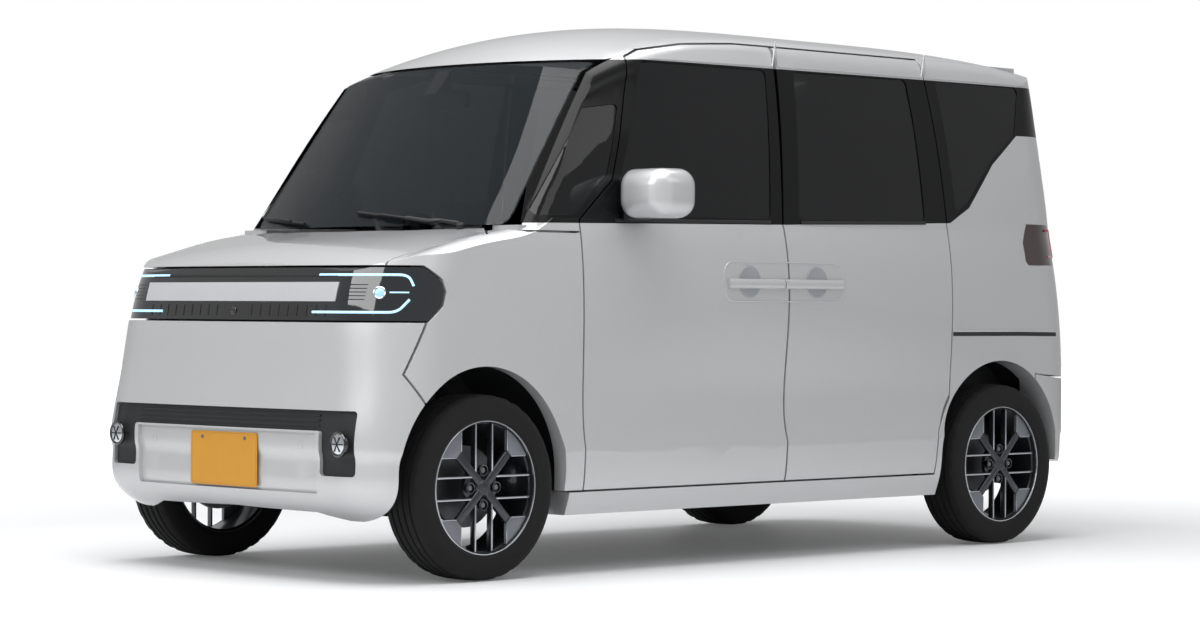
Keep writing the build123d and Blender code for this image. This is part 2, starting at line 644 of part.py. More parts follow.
with BuildPart() as cowl_panel:
    add(low_insert)
    add(top_prism(COWL_OUTLINE, 1000, 1060), mode=Mode.INTERSECT)
    add(bay_space.part, mode=Mode.SUBTRACT)
    mirror(about=Plane.YZ)
cowl_panel.part.label = "cowl_panel"
export_step(cowl_panel.part, "parts/cowl_panel.step")

# Bumper, lamps and grille ---------------------------------------------------
LAMP_INNER_X = 346
INSERT_OUTLINE = [
    (-600, 322), (-600, 516), (600, 516), (600, 322), (458, 322), (458, 455), (-458, 455), (-458, 322),
]
PLATE_PANEL = [(-440, 268), (-440, 449), (440, 449), (440, 268)]
PLATE_WIDTH = 330
PLATE_HEIGHT = 165
PLATE_Z = 357
PLATE_THICK = 2
with BuildPart() as plate_recess:
    add(low_insert)
    add(front_prism(PLATE_PANEL, -1800, -1500), mode=Mode.INTERSECT)
    add(bay_space.part, mode=Mode.SUBTRACT)

with BuildPart() as front_bumper:
    add(low_outer)
    add(side_prism(BUMPER_OUTLINE, -900, 900), mode=Mode.INTERSECT)
    add(
        [bay_space.part, front_prism(INSERT_OUTLINE, -1800, -1500, radius=12),
         front_prism(PLATE_PANEL, -1800, -1500), front_arches],
        mode=Mode.SUBTRACT)
    add(plate_recess.part)
    mirror(about=Plane.YZ)
front_bumper.part.label = "front_bumper"
export_step(front_bumper.part, "parts/front_bumper.step")

with BuildPart() as bumper_insert:
    add(low_insert)
    add(front_prism(INSERT_OUTLINE, -1800, -1500, radius=12, grow=-SEAT_GAP), mode=Mode.INTERSECT)
    add([bay_space.part, front_wells], mode=Mode.SUBTRACT)
    mirror(about=Plane.YZ)
bumper_insert.part.label = "bumper_insert"
export_step(bumper_insert.part, "parts/bumper_insert.step")

with BuildPart() as band_layer:
    add(low_recess)
    add(side_prism(LAMP_OUTLINE, -900, 900, radius=20), mode=Mode.INTERSECT)
    add(bay_space.part, mode=Mode.SUBTRACT)

with BuildPart() as grille_panel:
    add(band_layer.part)
    add(block(-LAMP_INNER_X, LAMP_INNER_X, -1800, -1300, 700, 1000), mode=Mode.INTERSECT)
    mirror(about=Plane.YZ)
grille_panel.part.label = "grille_panel"
export_step(grille_panel.part, "parts/grille_panel.step")

with BuildPart() as headlamps:
    add(band_layer.part)
    add(
        block(-LAMP_INNER_X - SEAT_GAP, LAMP_INNER_X + SEAT_GAP, -1800, -1300, 700, 1000), mode=Mode.SUBTRACT)
    mirror(about=Plane.YZ)
headlamps.part.label = "headlamps"
export_step(headlamps.part, "parts/headlamps.step")

BAR_HALF = 470
BAR_BOTTOM_Z = 840
BAR_TOP_Z = 898
with BuildPart() as grille_bar:
    add(block(-BAR_HALF, BAR_HALF, -1800, -1500, BAR_BOTTOM_Z, BAR_TOP_Z))
    add(low_outer, mode=Mode.INTERSECT)
    add(low_recess, mode=Mode.SUBTRACT)
    mirror(about=Plane.YZ)
grille_bar.part.label = "grille_bar"
export_step(grille_bar.part, "parts/grille_bar.step")

FOG_X = 548
FOG_Z = 418
with BuildPart() as fog_lamps:
    with BuildSketch(Plane.XZ.offset(1690)):
        with Locations((FOG_X, FOG_Z)):
            Circle(22)
    extrude(amount=-40)
    add(low_insert, mode=Mode.SUBTRACT)
    mirror(about=Plane.YZ)
fog_lamps.part.label = "fog_lamps"
export_step(fog_lamps.part, "parts/fog_lamps.step")

with BuildPart() as number_plate_front:
    with BuildSketch(Plane.XZ.offset(-(NOSE_Y + INSERT_DEPTH - PLATE_THICK - 2))):
        with Locations((0, PLATE_Z)):
            RectangleRounded(PLATE_WIDTH, PLATE_HEIGHT, 10)
    extrude(amount=-PLATE_THICK)
number_plate_front.part.label = "number_plate_front"
export_step(number_plate_front.part, "parts/number_plate_front.step")

REAR_PLATE_Z = 775
REAR_PLATE_Y = TAIL_Y + SEAT_GAP
with BuildPart() as number_plate_rear:
    with BuildSketch(Plane.XZ.offset(-(REAR_PLATE_Y - PLATE_THICK))):
        with Locations((0, REAR_PLATE_Z)):
            RectangleRounded(PLATE_WIDTH, PLATE_HEIGHT, 10)
    extrude(amount=-PLATE_THICK)
number_plate_rear.part.label = "number_plate_rear"
export_step(number_plate_rear.part, "parts/number_plate_rear.step")

# Floor and mechanical parts -------------------------------------------------
with BuildPart() as floor_pan:
    with BuildSketch(Plane.YZ.offset(-FLOOR_HALF)):
        with BuildLine():
            Polyline(
                (FIREWALL_Y - FLOOR_SHEET, FLOOR_Z), (860, FLOOR_Z), (960, FLOOR_REAR_Z),
                (TAIL_Y - 104, FLOOR_REAR_Z), (TAIL_Y - 104, FLOOR_REAR_Z + FLOOR_SHEET),
                (960 - 8, FLOOR_REAR_Z + FLOOR_SHEET), (852, FLOOR_Z + FLOOR_SHEET),
                (FIREWALL_Y, FLOOR_Z + FLOOR_SHEET), (FIREWALL_Y, 1030), (FIREWALL_Y - FLOOR_SHEET, 1030),
                close=True)
        make_face()
    extrude(amount=2 * FLOOR_HALF)
    add(top_prism(CABIN_PLAN, 0, HEIGHT, grow=-SEAT_GAP), mode=Mode.INTERSECT)
    add(both_sides(block(300, 360, NOSE_Y + 90, FIREWALL_Y - 5, 330, 420)))
    add(block(-380, 380, NOSE_Y + 70, NOSE_Y + 110, 400, 500))
    add([front_wells, rear_wells], mode=Mode.SUBTRACT)
floor_pan.part.label = "floor_pan"
export_step(floor_pan.part, "parts/floor_pan.step")

LINER_GAP = 0.5


def arch_liner(y, x_inner, plan, wall_x, openings):
    """Sheet that lines the wheel wells of one axle, kept inside the panels around it."""
    with BuildPart() as liner:
        add(arch_cut(WELL_RADIUS + LINER - LINER_GAP, y, x_inner - LINER + LINER_GAP))
        add(arch_cut(WELL_RADIUS, y, x_inner), mode=Mode.SUBTRACT)
        add(block(-wall_x, wall_x, y - 600, y + 600, SILL_TOP_Z + 4, 800), mode=Mode.INTERSECT)
        add(top_prism(plan, 0, HEIGHT, grow=-SEAT_GAP), mode=Mode.INTERSECT)
        add(openings, mode=Mode.SUBTRACT)
    return liner.part



AXLE_Z = TYRE_RADIUS
BATTERY_HALF = 440
with BuildPart() as battery_pack:
    add(block(-BATTERY_HALF, BATTERY_HALF, -620, 800, 175, FLOOR_Z))
    chamfer(battery_pack.edges().filter_by(Axis.Z), 30)
battery_pack.part.label = "battery_pack"
export_step(battery_pack.part, "parts/battery_pack.step")

MOTOR_HALF = 220
SUBFRAME_TOP_Z = 232
with BuildPart() as drive_unit:
    add(block(-MOTOR_HALF, MOTOR_HALF, FRONT_AXLE_Y - 170, FRONT_AXLE_Y + 190, SUBFRAME_TOP_Z, 640))
    chamfer(drive_unit.edges().filter_by(Axis.X), 30)
drive_unit.part.label = "drive_unit"
export_step(drive_unit.part, "parts/drive_unit.step")

# Steering axis: it leans inwards from the lower ball joint to the strut top.
BALL_X = 575.0
BALL_Z = 205.0
BALL_STUD_Z = 191.0
STRUT_TOP_X = 469.0
STRUT_TOP_Z = 762.0
STRUT_LOW_Z = 446.0


def pivot_x(z):
    """Distance of the left steering axis from the middle at a height."""
    return BALL_X + (STRUT_TOP_X - BALL_X) * (z - BALL_Z) / (STRUT_TOP_Z - BALL_Z)


strut_plane = Plane(
    origin=(pivot_x(STRUT_LOW_Z), FRONT_AXLE_Y, STRUT_LOW_Z), x_dir=(0, 1, 0),
    z_dir=(STRUT_TOP_X - BALL_X, 0, STRUT_TOP_Z - BALL_Z))
with BuildPart() as left_links:
    with BuildSketch(Plane.XY.offset(BALL_Z - 26)):
        with BuildLine():
            Polyline(
                (300, FRONT_AXLE_Y - 40), (BALL_X - 20, FRONT_AXLE_Y - 22), (BALL_X, FRONT_AXLE_Y - 22),
                (BALL_X + 14, FRONT_AXLE_Y), (BALL_X, FRONT_AXLE_Y + 22), (BALL_X - 20, FRONT_AXLE_Y + 22),
                (480, FRONT_AXLE_Y + 60), (300, FRONT_AXLE_Y + 230), close=True)
        make_face()
    extrude(amount=14)
    with Locations((pivot_x(BALL_STUD_Z), FRONT_AXLE_Y, BALL_STUD_Z)):
        Sphere(BALL_Z - 3.7 - SEAT_GAP - BALL_STUD_Z)
with BuildPart() as left_strut:
    with BuildSketch(strut_plane):
        Circle(22)
    extrude(amount=150)
    with BuildSketch(strut_plane.offset(150)):
        Circle(62)
    extrude(amount=10)
    with BuildSketch(strut_plane.offset(160)):
        Circle(50)
    extrude(amount=150)
with BuildPart() as left_shaft:
    with BuildSketch(Plane.YZ.offset(MOTOR_HALF + SEAT_GAP)):
        with Locations((FRONT_AXLE_Y, AXLE_Z)):
            Circle(13)
    extrude(amount=526 - MOTOR_HALF)
    fillet(left_shaft.edges().filter_by(GeomType.CIRCLE).sort_by(Axis.X)[-1], 4)
with BuildPart() as front_suspension:
    add(block(-320, 320, FRONT_AXLE_Y - 60, FRONT_AXLE_Y + 250, BALL_Z - 26, SUBFRAME_TOP_Z))
    add(both_sides(
        block(270, 320, FRONT_AXLE_Y + 170, FRONT_AXLE_Y + 220, SUBFRAME_TOP_Z - 10, 330 - SEAT_GAP)))
    add(both_sides(left_links.part))
    add(both_sides(left_strut.part))
    add(both_sides(left_shaft.part))
front_suspension.part.label = "front_suspension"
export_step(front_suspension.part, "parts/front_suspension.step")

with BuildPart() as strut_room:
    with BuildSketch(strut_plane.offset(100)):
        Circle(62 + PANEL_GAP)
    extrude(amount=300)
shaft_room = block(FRONT_WELL_X - 20, FRONT_WELL_X + 20, FRONT_AXLE_Y - 30, FRONT_AXLE_Y + 30, 200, 320)
stub_room = block(REAR_WELL_X - 20, REAR_WELL_X + 20, REAR_AXLE_Y - 40, REAR_AXLE_Y + 40, 200, 330)
with BuildPart() as wheel_liners:
    add(arch_liner(
        FRONT_ARCH_Y, FRONT_WELL_X, BAY_PLAN, WING_INNER_X - SEAT_GAP,
        [both_sides(strut_room.part), both_sides(shaft_room)]))
    add(arch_liner(
        REAR_ARCH_Y, REAR_WELL_X, CABIN_PLAN, DOOR_INNER_X - SEAT_GAP, [both_sides(stub_room)]))
wheel_liners.part.label = "wheel_liners"
export_step(wheel_liners.part, "parts/wheel_liners.step")

with BuildPart() as knuckle_left:
    with BuildSketch(Plane.YZ.offset(552)):
        with Locations((FRONT_AXLE_Y, AXLE_Z)):
            Circle(52)
    extrude(amount=40)
    with BuildSketch(Plane.XZ.offset(-(FRONT_AXLE_Y - 22))):
        with BuildLine():
            Polyline(
                (556, BALL_Z - 3.7), (592, BALL_Z - 3.7), (592, 330), (pivot_x(430) + 26, 418),
                (pivot_x(430) + 24, STRUT_LOW_Z - 4.6), (pivot_x(430) - 34, STRUT_LOW_Z - 4.6),
                (pivot_x(430) - 30, 410), (552, 330), close=True)
        make_face()
    extrude(amount=-44)
knuckle_left.part.label = "knuckle_left"
export_step(knuckle_left.part, "parts/knuckle_left.step")

with BuildPart() as knuckle_right:
    add(knuckle_left.part.mirror(Plane.YZ))
knuckle_right.part.label = "knuckle_right"
export_step(knuckle_right.part, "parts/knuckle_right.step")

STUB_X = 590
with BuildPart() as rear_axle:
    with BuildSketch(Plane.YZ.offset(-480)):
        with Locations((REAR_AXLE_Y - 150, AXLE_Z + 20)):
            RectangleRounded(70, 80, 20)
    extrude(amount=960)
    for side in (-1, 1):
        with BuildSketch(Plane.YZ.offset(side * 440)):
            with BuildLine():
                Polyline(
                    (820, 250), (820, FLOOR_Z - SEAT_GAP), (900, FLOOR_Z - SEAT_GAP), (REAR_AXLE_Y, 340),
                    (REAR_AXLE_Y + 60, 300), (REAR_AXLE_Y + 60, 240), (REAR_AXLE_Y - 60, 225), close=True)
            make_face()
        extrude(amount=side * 55)
        with BuildSketch(Plane.YZ.offset(side * 480)):
            with Locations((REAR_AXLE_Y, AXLE_Z)):
                Circle(26)
        extrude(amount=side * (STUB_X - 480))
        with BuildSketch(Plane.XY.offset(330)):
            with Locations((side * 420, REAR_AXLE_Y - 40)):
                Circle(45)
        extrude(amount=FLOOR_REAR_Z - 330 - SEAT_GAP)
rear_axle.part.label = "rear_axle"
export_step(rear_axle.part, "parts/rear_axle.step")

# Wheels ---------------------------------------------------------------------
# Columns: name, side, axle position
WHEELS = [
    ("front_left", 1, FRONT_AXLE_Y), ("front_right", -1, FRONT_AXLE_Y),
    ("rear_left", 1, REAR_AXLE_Y), ("rear_right", -1, REAR_AXLE_Y),
]
TYRE_HALF = TYRE_WIDTH / 2
TYRE_BULGE = 236
RIM_HALF = TYRE_HALF - 8
BARREL = 10
SHOULDER = 22
HUB_OUT = 44
for name, side, axle_y in WHEELS:
    wheel_plane = Plane(origin=(side * WHEEL_X, axle_y, AXLE_Z), x_dir=(side, 0, 0), z_dir=(0, 0, side))
    face_plane = Plane(origin=(side * WHEEL_X, axle_y, AXLE_Z), x_dir=(0, -side, 0), z_dir=(side, 0, 0))
    spin_axis = Axis((side * WHEEL_X, axle_y, AXLE_Z), (1, 0, 0))
    with BuildPart() as tyre:
        with BuildSketch(wheel_plane):
            with BuildLine():
                for way in (-1, 1):
                    bead = (way * (RIM_HALF + 3), RIM_RADIUS + 6)
                    wall = (way * (TYRE_HALF - 5), TYRE_RADIUS - 17)
                    tread_edge = (way * (TYRE_HALF - 26), TYRE_RADIUS - 2)
                    Line((way * RIM_HALF, RIM_RADIUS), bead)
                    ThreePointArc(bead, (way * TYRE_HALF, TYRE_BULGE), wall)
                    ThreePointArc(wall, (way * (TYRE_HALF - 12), TYRE_RADIUS - 6), tread_edge)
                ThreePointArc(
                    (26 - TYRE_HALF, TYRE_RADIUS - 2), (0, TYRE_RADIUS), (TYRE_HALF - 26, TYRE_RADIUS - 2))
                Line((RIM_HALF, RIM_RADIUS), (-RIM_HALF, RIM_RADIUS))
            make_face()
        revolve(axis=spin_axis)
    tyre.part.label = f"tyre_{name}"
    export_step(tyre.part, f"parts/tyre_{name}.step")

    with BuildPart() as rim:
        with BuildSketch(wheel_plane):
            with BuildLine():
                Polyline(
                    (-RIM_HALF, RIM_RADIUS - SEAT_GAP), (RIM_HALF, RIM_RADIUS - SEAT_GAP),
                    (RIM_HALF, RIM_RADIUS - BARREL), (RIM_HALF - 14, RIM_RADIUS - BARREL - 4),
                    (-RIM_HALF, RIM_RADIUS - BARREL), close=True)
            make_face()
        revolve(axis=spin_axis)
        with BuildSketch(face_plane.offset(HUB_OUT)):
            Circle(48)
            with PolarLocations(0, 4, start_angle=45):
                with Locations((95, 0)):
                    Rectangle(196, 34)
            with PolarLocations(0, 4):
                with Locations((110, 11), (110, -11)):
                    Rectangle(166, 10)
            Circle(RIM_RADIUS - BARREL + 4, mode=Mode.INTERSECT)
        extrude(amount=16)
        with BuildSketch(face_plane.offset(-20)):
            Circle(70)
        extrude(amount=HUB_OUT + 22)
    rim.part.label = f"rim_{name}"
    export_step(rim.part, f"parts/rim_{name}.step")

    with BuildPart() as brake:
        with BuildSketch(face_plane.offset(-38)):
            Circle(124 if axle_y < 0 else 105)
        extrude(amount=17.7)
    brake.part.label = f"brake_{name}"
    export_step(brake.part, f"parts/brake_{name}.step")

# Interior --------------------------------------------------------------------
SEAT_X = 322
SEAT_WIDTH = 460
with BuildPart() as front_seats:
    for side in (-1, 1):
        with BuildSketch(Plane.YZ.offset(side * SEAT_X - SEAT_WIDTH / 2)):
            with BuildLine():
                Polyline(
                    (-480, FLOOR_TOP_Z), (-480, 600), (-40, 560), (100, 1180), (170, 1180), (180, 1120),
                    (60, 540), (0, FLOOR_TOP_Z), close=True)
            make_face()
        extrude(amount=SEAT_WIDTH)
        with BuildSketch(Plane.YZ.offset(side * SEAT_X - 120)):
            with BuildLine():
                Polyline((104, 1175), (120, 1330), (190, 1330), (172, 1175), close=True)
            make_face()
        extrude(amount=240)
front_seats.part.label = "front_seats"
export_step(front_seats.part, "parts/front_seats.step")

with BuildPart() as rear_seat:
    with BuildSketch(Plane.YZ.offset(-500)):
        with BuildLine():
            Polyline(
                (620, FLOOR_TOP_Z), (620, 640), (1030, 600), (1150, 1180), (1220, 1180), (1130, 560),
                (1100, FLOOR_REAR_Z + FLOOR_SHEET), (940, FLOOR_REAR_Z + FLOOR_SHEET), (840, FLOOR_TOP_Z),
                close=True)
        make_face()
    extrude(amount=1000)
rear_seat.part.label = "rear_seat"
export_step(rear_seat.part, "parts/rear_seat.step")

with BuildPart() as dashboard:
    with BuildSketch(Plane.YZ.offset(-545)):
        with BuildLine():
            Polyline(
                (FIREWALL_Y + SEAT_GAP, 700), (FIREWALL_Y + SEAT_GAP, 1030), (-900, 1050), (-720, 1020),
                (-680, 960), (-700, 850), (-780, 700), close=True)
        make_face()
    extrude(amount=1090)
dashboard.part.label = "dashboard"
export_step(dashboard.part, "parts/dashboard.step")

WHEEL_CENTRE = (-330.0, -545.0, 985.0)
COLUMN_TILT = 25.0
column_dir = (0, cos(radians(COLUMN_TILT)), sin(radians(COLUMN_TILT)))
steering_plane = Plane(origin=WHEEL_CENTRE, x_dir=(1, 0, 0), z_dir=column_dir)
rim_plane = Plane(
    origin=WHEEL_CENTRE, x_dir=(1, 0, 0), z_dir=(0, -sin(radians(COLUMN_TILT)), cos(radians(COLUMN_TILT))))
with BuildPart() as steering_wheel:
    with BuildSketch(rim_plane):
        with Locations((175, 0)):
            Circle(14)
    revolve(axis=Axis(WHEEL_CENTRE, column_dir))
    with BuildSketch(steering_plane.offset(-30)):
        Circle(60)
        Rectangle(345, 40)
        with Locations((0, -88)):
            Rectangle(44, 170)
    extrude(amount=26)
    with BuildSketch(steering_plane.offset(-30)):
        Circle(24)
    extrude(amount=-102)
steering_wheel.part.label = "steering_wheel"
export_step(steering_wheel.part, "parts/steering_wheel.step")

# Small outside parts ----------------------------------------------------------
MIRROR_X = 812.0
MIRROR_Y = -620.0
MIRROR_Z = 1184.0
with BuildPart() as door_mirror_left:
    with BuildSketch(Plane.XZ.offset(-(MIRROR_Y - 45))):
        with Locations((MIRROR_X, MIRROR_Z)):
            RectangleRounded(165, 160, 45)
    extrude(amount=-90)
    fillet(door_mirror_left.edges().group_by(Axis.Y)[0], 40)
    with BuildSketch(Plane.XY.offset(1112)):
        with BuildLine():
            Polyline(
                (700, MIRROR_Y - 50), (780, MIRROR_Y - 30), (780, MIRROR_Y + 30), (700, MIRROR_Y + 40),
                close=True)
        make_face()
    extrude(amount=24)
    add(outer.part, mode=Mode.SUBTRACT)
door_mirror_left.part.label = "door_mirror_left"
export_step(door_mirror_left.part, "parts/door_mirror_left.step")

with BuildPart() as door_mirror_right:
    add(door_mirror_left.part.mirror(Plane.YZ))
door_mirror_right.part.label = "door_mirror_right"
export_step(door_mirror_right.part, "parts/door_mirror_right.step")

with BuildPart() as cabin_mirror:
    with BuildSketch(Plane.XZ.offset(800)):
        with Locations((0, 1500)):
            RectangleRounded(220, 60, 25)
    extrude(amount=-25)
    with BuildSketch(Plane.XY.offset(1515)):
        with Locations((0, -830)):
            Rectangle(60, 80)
    extrude(amount=80)
    add(top_glass_back, mode=Mode.INTERSECT)
    mirror(about=Plane.YZ)
cabin_mirror.part.label = "cabin_mirror"
export_step(cabin_mirror.part, "parts/cabin_mirror.step")
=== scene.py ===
"""Looks of a tall, boxy kei car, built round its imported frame. All sizes are in metres."""

import logging
import math
from dataclasses import dataclass
from enum import Enum
from typing import Iterable, Protocol, Sequence

import bmesh
import bpy
from mathutils import Matrix, Vector
from mathutils.bvhtree import BVHTree


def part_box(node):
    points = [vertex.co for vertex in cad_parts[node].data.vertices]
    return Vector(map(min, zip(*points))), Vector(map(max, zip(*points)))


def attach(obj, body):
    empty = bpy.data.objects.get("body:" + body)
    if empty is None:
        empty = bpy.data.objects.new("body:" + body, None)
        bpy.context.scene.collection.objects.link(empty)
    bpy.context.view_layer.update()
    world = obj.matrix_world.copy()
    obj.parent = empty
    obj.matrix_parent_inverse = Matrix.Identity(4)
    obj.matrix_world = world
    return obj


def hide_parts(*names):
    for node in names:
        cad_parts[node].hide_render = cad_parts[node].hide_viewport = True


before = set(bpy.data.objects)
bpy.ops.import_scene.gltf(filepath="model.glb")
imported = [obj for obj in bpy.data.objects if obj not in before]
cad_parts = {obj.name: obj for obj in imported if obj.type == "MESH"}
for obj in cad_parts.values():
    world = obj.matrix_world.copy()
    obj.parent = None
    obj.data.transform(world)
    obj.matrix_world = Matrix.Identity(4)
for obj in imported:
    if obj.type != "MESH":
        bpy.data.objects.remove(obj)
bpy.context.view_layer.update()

log = logging.getLogger("kei_car")

Point2 = tuple[float, float]
Point3 = tuple[float, float, float]

MM = 0.001


class Side(Enum):
    """Which side of the car a piece is on, as the sign of its X."""

    LEFT = 1
    RIGHT = -1


class Facing(Enum):
    """The way a surface piece is pressed onto the car."""

    FRONT = "front"
    REAR = "rear"
    FLANK = "flank"


SIDES = (Side.LEFT, Side.RIGHT)


# Colour and node helpers ------------------------------------------------------


def linear(code: str) -> tuple[float, float, float, float]:
    """Turns an sRGB hex code into linear colour.

    Args:
        code: six hex digits, with or without a leading hash.

    Returns:
        Linear red, green, blue and an alpha of one.
    """
    digits = code.lstrip("#")
    channels = [int(digits[i : i + 2], 16) / 255 for i in (0, 2, 4)]
    bent = [c / 12.92 if c <= 0.04045 else ((c + 0.055) / 1.055) ** 2.4 for c in channels]
    return (bent[0], bent[1], bent[2], 1.0)


def add_node(
    tree: bpy.types.NodeTree,
    kind: str,
    settings: dict[str | int, object] | None = None,
    links: dict[str | int, bpy.types.NodeSocket] | None = None,
) -> bpy.types.Node:
    """Adds a node, sets its values and links its inputs.

    Args:
        tree: the node tree that gets the node.
        kind: the node's type name.
        settings: values by socket name, socket number or property name.
        links: output sockets by the name or number of the input they feed.

    Returns:
        The new node.
    """
    node = tree.nodes.new(kind)
    for name, value in (settings or {}).items():
        if isinstance(name, int) or name in node.inputs:
            node.inputs[name].default_value = value
        else:
            setattr(node, name, value)
    for name, source in (links or {}).items():
        tree.links.new(source, node.inputs[name])
    return node


def new_material(name: str) -> tuple[bpy.types.Material, bpy.types.NodeTree]:
    """Makes an empty node material.

    Args:
        name: the material's name.

    Returns:
        The material and its cleared node tree.
    """
    material = bpy.data.materials.new(name)
    material.use_nodes = True
    material.node_tree.nodes.clear()
    return material, material.node_tree


def object_coordinates(tree: bpy.types.NodeTree) -> bpy.types.NodeSocket:
    """Adds a Texture Coordinate node.

    Args:
        tree: the material's node tree.

    Returns:
        Its Object coordinate output.
    """
    return add_node(tree, "ShaderNodeTexCoord").outputs["Object"]


def finish_surface(
    tree: bpy.types.NodeTree,
    settings: dict[str | int, object],
    links: dict[str | int, bpy.types.NodeSocket] | None = None,
) -> bpy.types.Node:
    """Adds the Principled shader and the output.

    Args:
        tree: the material's node tree.
        settings: values of the shader's sockets.
        links: sockets that feed the shader.

    Returns:
        The Principled node.
    """
    shader = add_node(tree, "ShaderNodeBsdfPrincipled", settings, links)
    add_node(tree, "ShaderNodeOutputMaterial", links={"Surface": shader.outputs["BSDF"]})
    return shader


def grain_bump(
    tree: bpy.types.NodeTree, size_mm: float, height_mm: float, detail: float = 2.0
) -> bpy.types.NodeSocket:
    """Adds a fine noise bump.

    Args:
        tree: the material's node tree.
        size_mm: the grain's width.
        height_mm: the grain's height.
        detail: octaves of the noise.

    Returns:
        The bump's normal output.
    """
    noise = add_node(
        tree, "ShaderNodeTexNoise",
        {"Scale": 1.0 / (size_mm * MM), "Detail": detail, "Roughness": 0.5},
        {"Vector": object_coordinates(tree)},
    )
    bump = add_node(
        tree, "ShaderNodeBump", {"Strength": 1.0, "Distance": height_mm * MM},
        {"Height": noise.outputs["Fac"]},
    )
    return bump.outputs["Normal"]


# Finishes ---------------------------------------------------------------------


class Finish(Protocol):
    """Anything that gives a material."""

    def material(self) -> bpy.types.Material:
        """Gives the finish's material."""


@dataclass(frozen=True)
class PearlPaint:
    """Three-coat pearl white paint on pressed steel, baked under clear lacquer.

    The lacquer gives sharp reflections over a soft silvery white, faces seen at a grazing angle
    are mixed towards the shade grey as painted shade, the mica varies the tone a little at random,
    and the orange peel ripples the reflections a little.
    """

    colour: str = "D0D1D2"
    # painted shade: the darker grey that faces seen at a grazing angle take
    shade: str = "B3B5B8"
    peel_mm: float = 2.4
    peel_height_mm: float = 0.004
    edge_mm: float = 2.2
    roughness: float = 0.36
    metallic: float = 0.35
    band: bool = False
    band_colour: str = "08090B"

    def material(self) -> bpy.types.Material:
        """Builds the paint, with the gloss black window band where it is asked for.

        Returns:
            The material.
        """
        material, tree = new_material("pearl_paint_banded" if self.band else "pearl_paint")
        facing = add_node(tree, "ShaderNodeLayerWeight", {"Blend": 0.35})
        mica = add_node(
            tree, "ShaderNodeTexNoise", {"Scale": 1.0 / (3.0 * MM), "Detail": 1.0},
            {"Vector": object_coordinates(tree)},
        )
        # painted shade: the colour turns to the shade grey where the surface faces away from the camera
        pearl = add_node(
            tree, "ShaderNodeMix",
            {"data_type": "RGBA", 6: linear(self.colour), 7: linear(self.shade)},
            {0: facing.outputs["Facing"]},
        )
        fleck = add_node(
            tree, "ShaderNodeMapRange",
            {"From Min": 0.3, "From Max": 0.7, "To Min": 0.975, "To Max": 1.02},
            {"Value": mica.outputs["Fac"]},
        )
        tinted = add_node(
            tree, "ShaderNodeMix", {"data_type": "RGBA", "blend_type": "MULTIPLY", 0: 1.0},
            {6: pearl.outputs[2], 7: fleck.outputs["Result"]},
        )
        colour = tinted.outputs[2]
        sheen: dict[str | int, bpy.types.NodeSocket] = {}
        if self.band:
            mask = window_band(tree)
            for name, low, high in (
                ("Metallic", self.metallic, 0.0), ("Coat Weight", 1.0, 0.0),
                ("Roughness", self.roughness, 0.24), ("Specular IOR Level", 0.5, 0.25),
            ):
                sheen[name] = add_node(
                    tree, "ShaderNodeMapRange", {"To Min": low, "To Max": high}, {"Value": mask}
                ).outputs["Result"]
            colour = add_node(
                tree, "ShaderNodeMix", {"data_type": "RGBA", 7: linear(self.band_colour)},
                {0: mask, 6: colour},
            ).outputs[2]
        rounded = add_node(tree, "ShaderNodeBevel", {"samples": 4, "Radius": self.edge_mm * MM})
        peel = add_node(
            tree, "ShaderNodeTexNoise", {"Scale": 1.0 / (self.peel_mm * MM), "Detail": 1.0},
            {"Vector": object_coordinates(tree)},
        )
        ripple = add_node(
            tree, "ShaderNodeBump", {"Strength": 1.0, "Distance": self.peel_height_mm * MM},
            {"Height": peel.outputs["Fac"], "Normal": rounded.outputs["Normal"]},
        )
        finish_surface(
            tree,
            {"Roughness": self.roughness, "Metallic": self.metallic, "Coat Weight": 1.0,
             "Coat Roughness": 0.04},
            {"Base Color": colour, "Normal": rounded.outputs["Normal"],
             "Coat Normal": ripple.outputs["Normal"], **sheen},
        )
        return material


@dataclass(frozen=True)
class PearlSmall:
    """The body's pearl paint, for small sprayed pieces."""

    def material(self) -> bpy.types.Material:
        """Gives the body's own paint, made once."""
        return bpy.data.materials.get("pearl_paint") or PearlPaint().material()


@dataclass(frozen=True)
class WindowBand:
    """The black band round the glass, on both flanks, as lines over (y, z)."""

    belt: tuple[Point2, ...] = ((-1.30, 1.080), (0.091, 1.102), (0.936, 1.126))
    top: tuple[Point2, ...] = ((-0.72, 1.606), (-0.50, 1.618), (1.50, 1.626))
    fin: tuple[Point2, ...] = ((0.936, 1.126), (1.046, 1.182), (1.192, 1.339), (1.346, 1.447), (1.56, 1.449))


def above_line(
    tree: bpy.types.NodeTree, y: bpy.types.NodeSocket, z: bpy.types.NodeSocket, a: Point2, b: Point2
) -> bpy.types.NodeSocket:
    """Gives one where z is above the line through two (y, z) points.

    Args:
        tree: the material's node tree.
        y: the y coordinate's socket.
        z: the z coordinate's socket.
        a: first point of the line.
        b: second point of the line.

    Returns:
        A socket that is one above the line and zero below it.
    """
    slope = (b[1] - a[1]) / (b[0] - a[0])
    line = add_node(
        tree, "ShaderNodeMath", {"operation": "MULTIPLY_ADD", 1: slope, 2: a[1] - slope * a[0]}, {0: y}
    )
    return add_node(
        tree, "ShaderNodeMath", {"operation": "GREATER_THAN"}, {0: z, 1: line.outputs[0]}
    ).outputs[0]


def combine(
    tree: bpy.types.NodeTree, operation: str, sockets: Sequence[bpy.types.NodeSocket]
) -> bpy.types.NodeSocket:
    """Folds several sockets together with one Math operation.

    Args:
        tree: the material's node tree.
        operation: the operation, such as MINIMUM.
        sockets: what is folded.

    Returns:
        The last operation's socket.
    """
    joined = sockets[0]
    for socket in sockets[1:]:
        joined = add_node(tree, "ShaderNodeMath", {"operation": operation}, {0: joined, 1: socket}).outputs[0]
    return joined


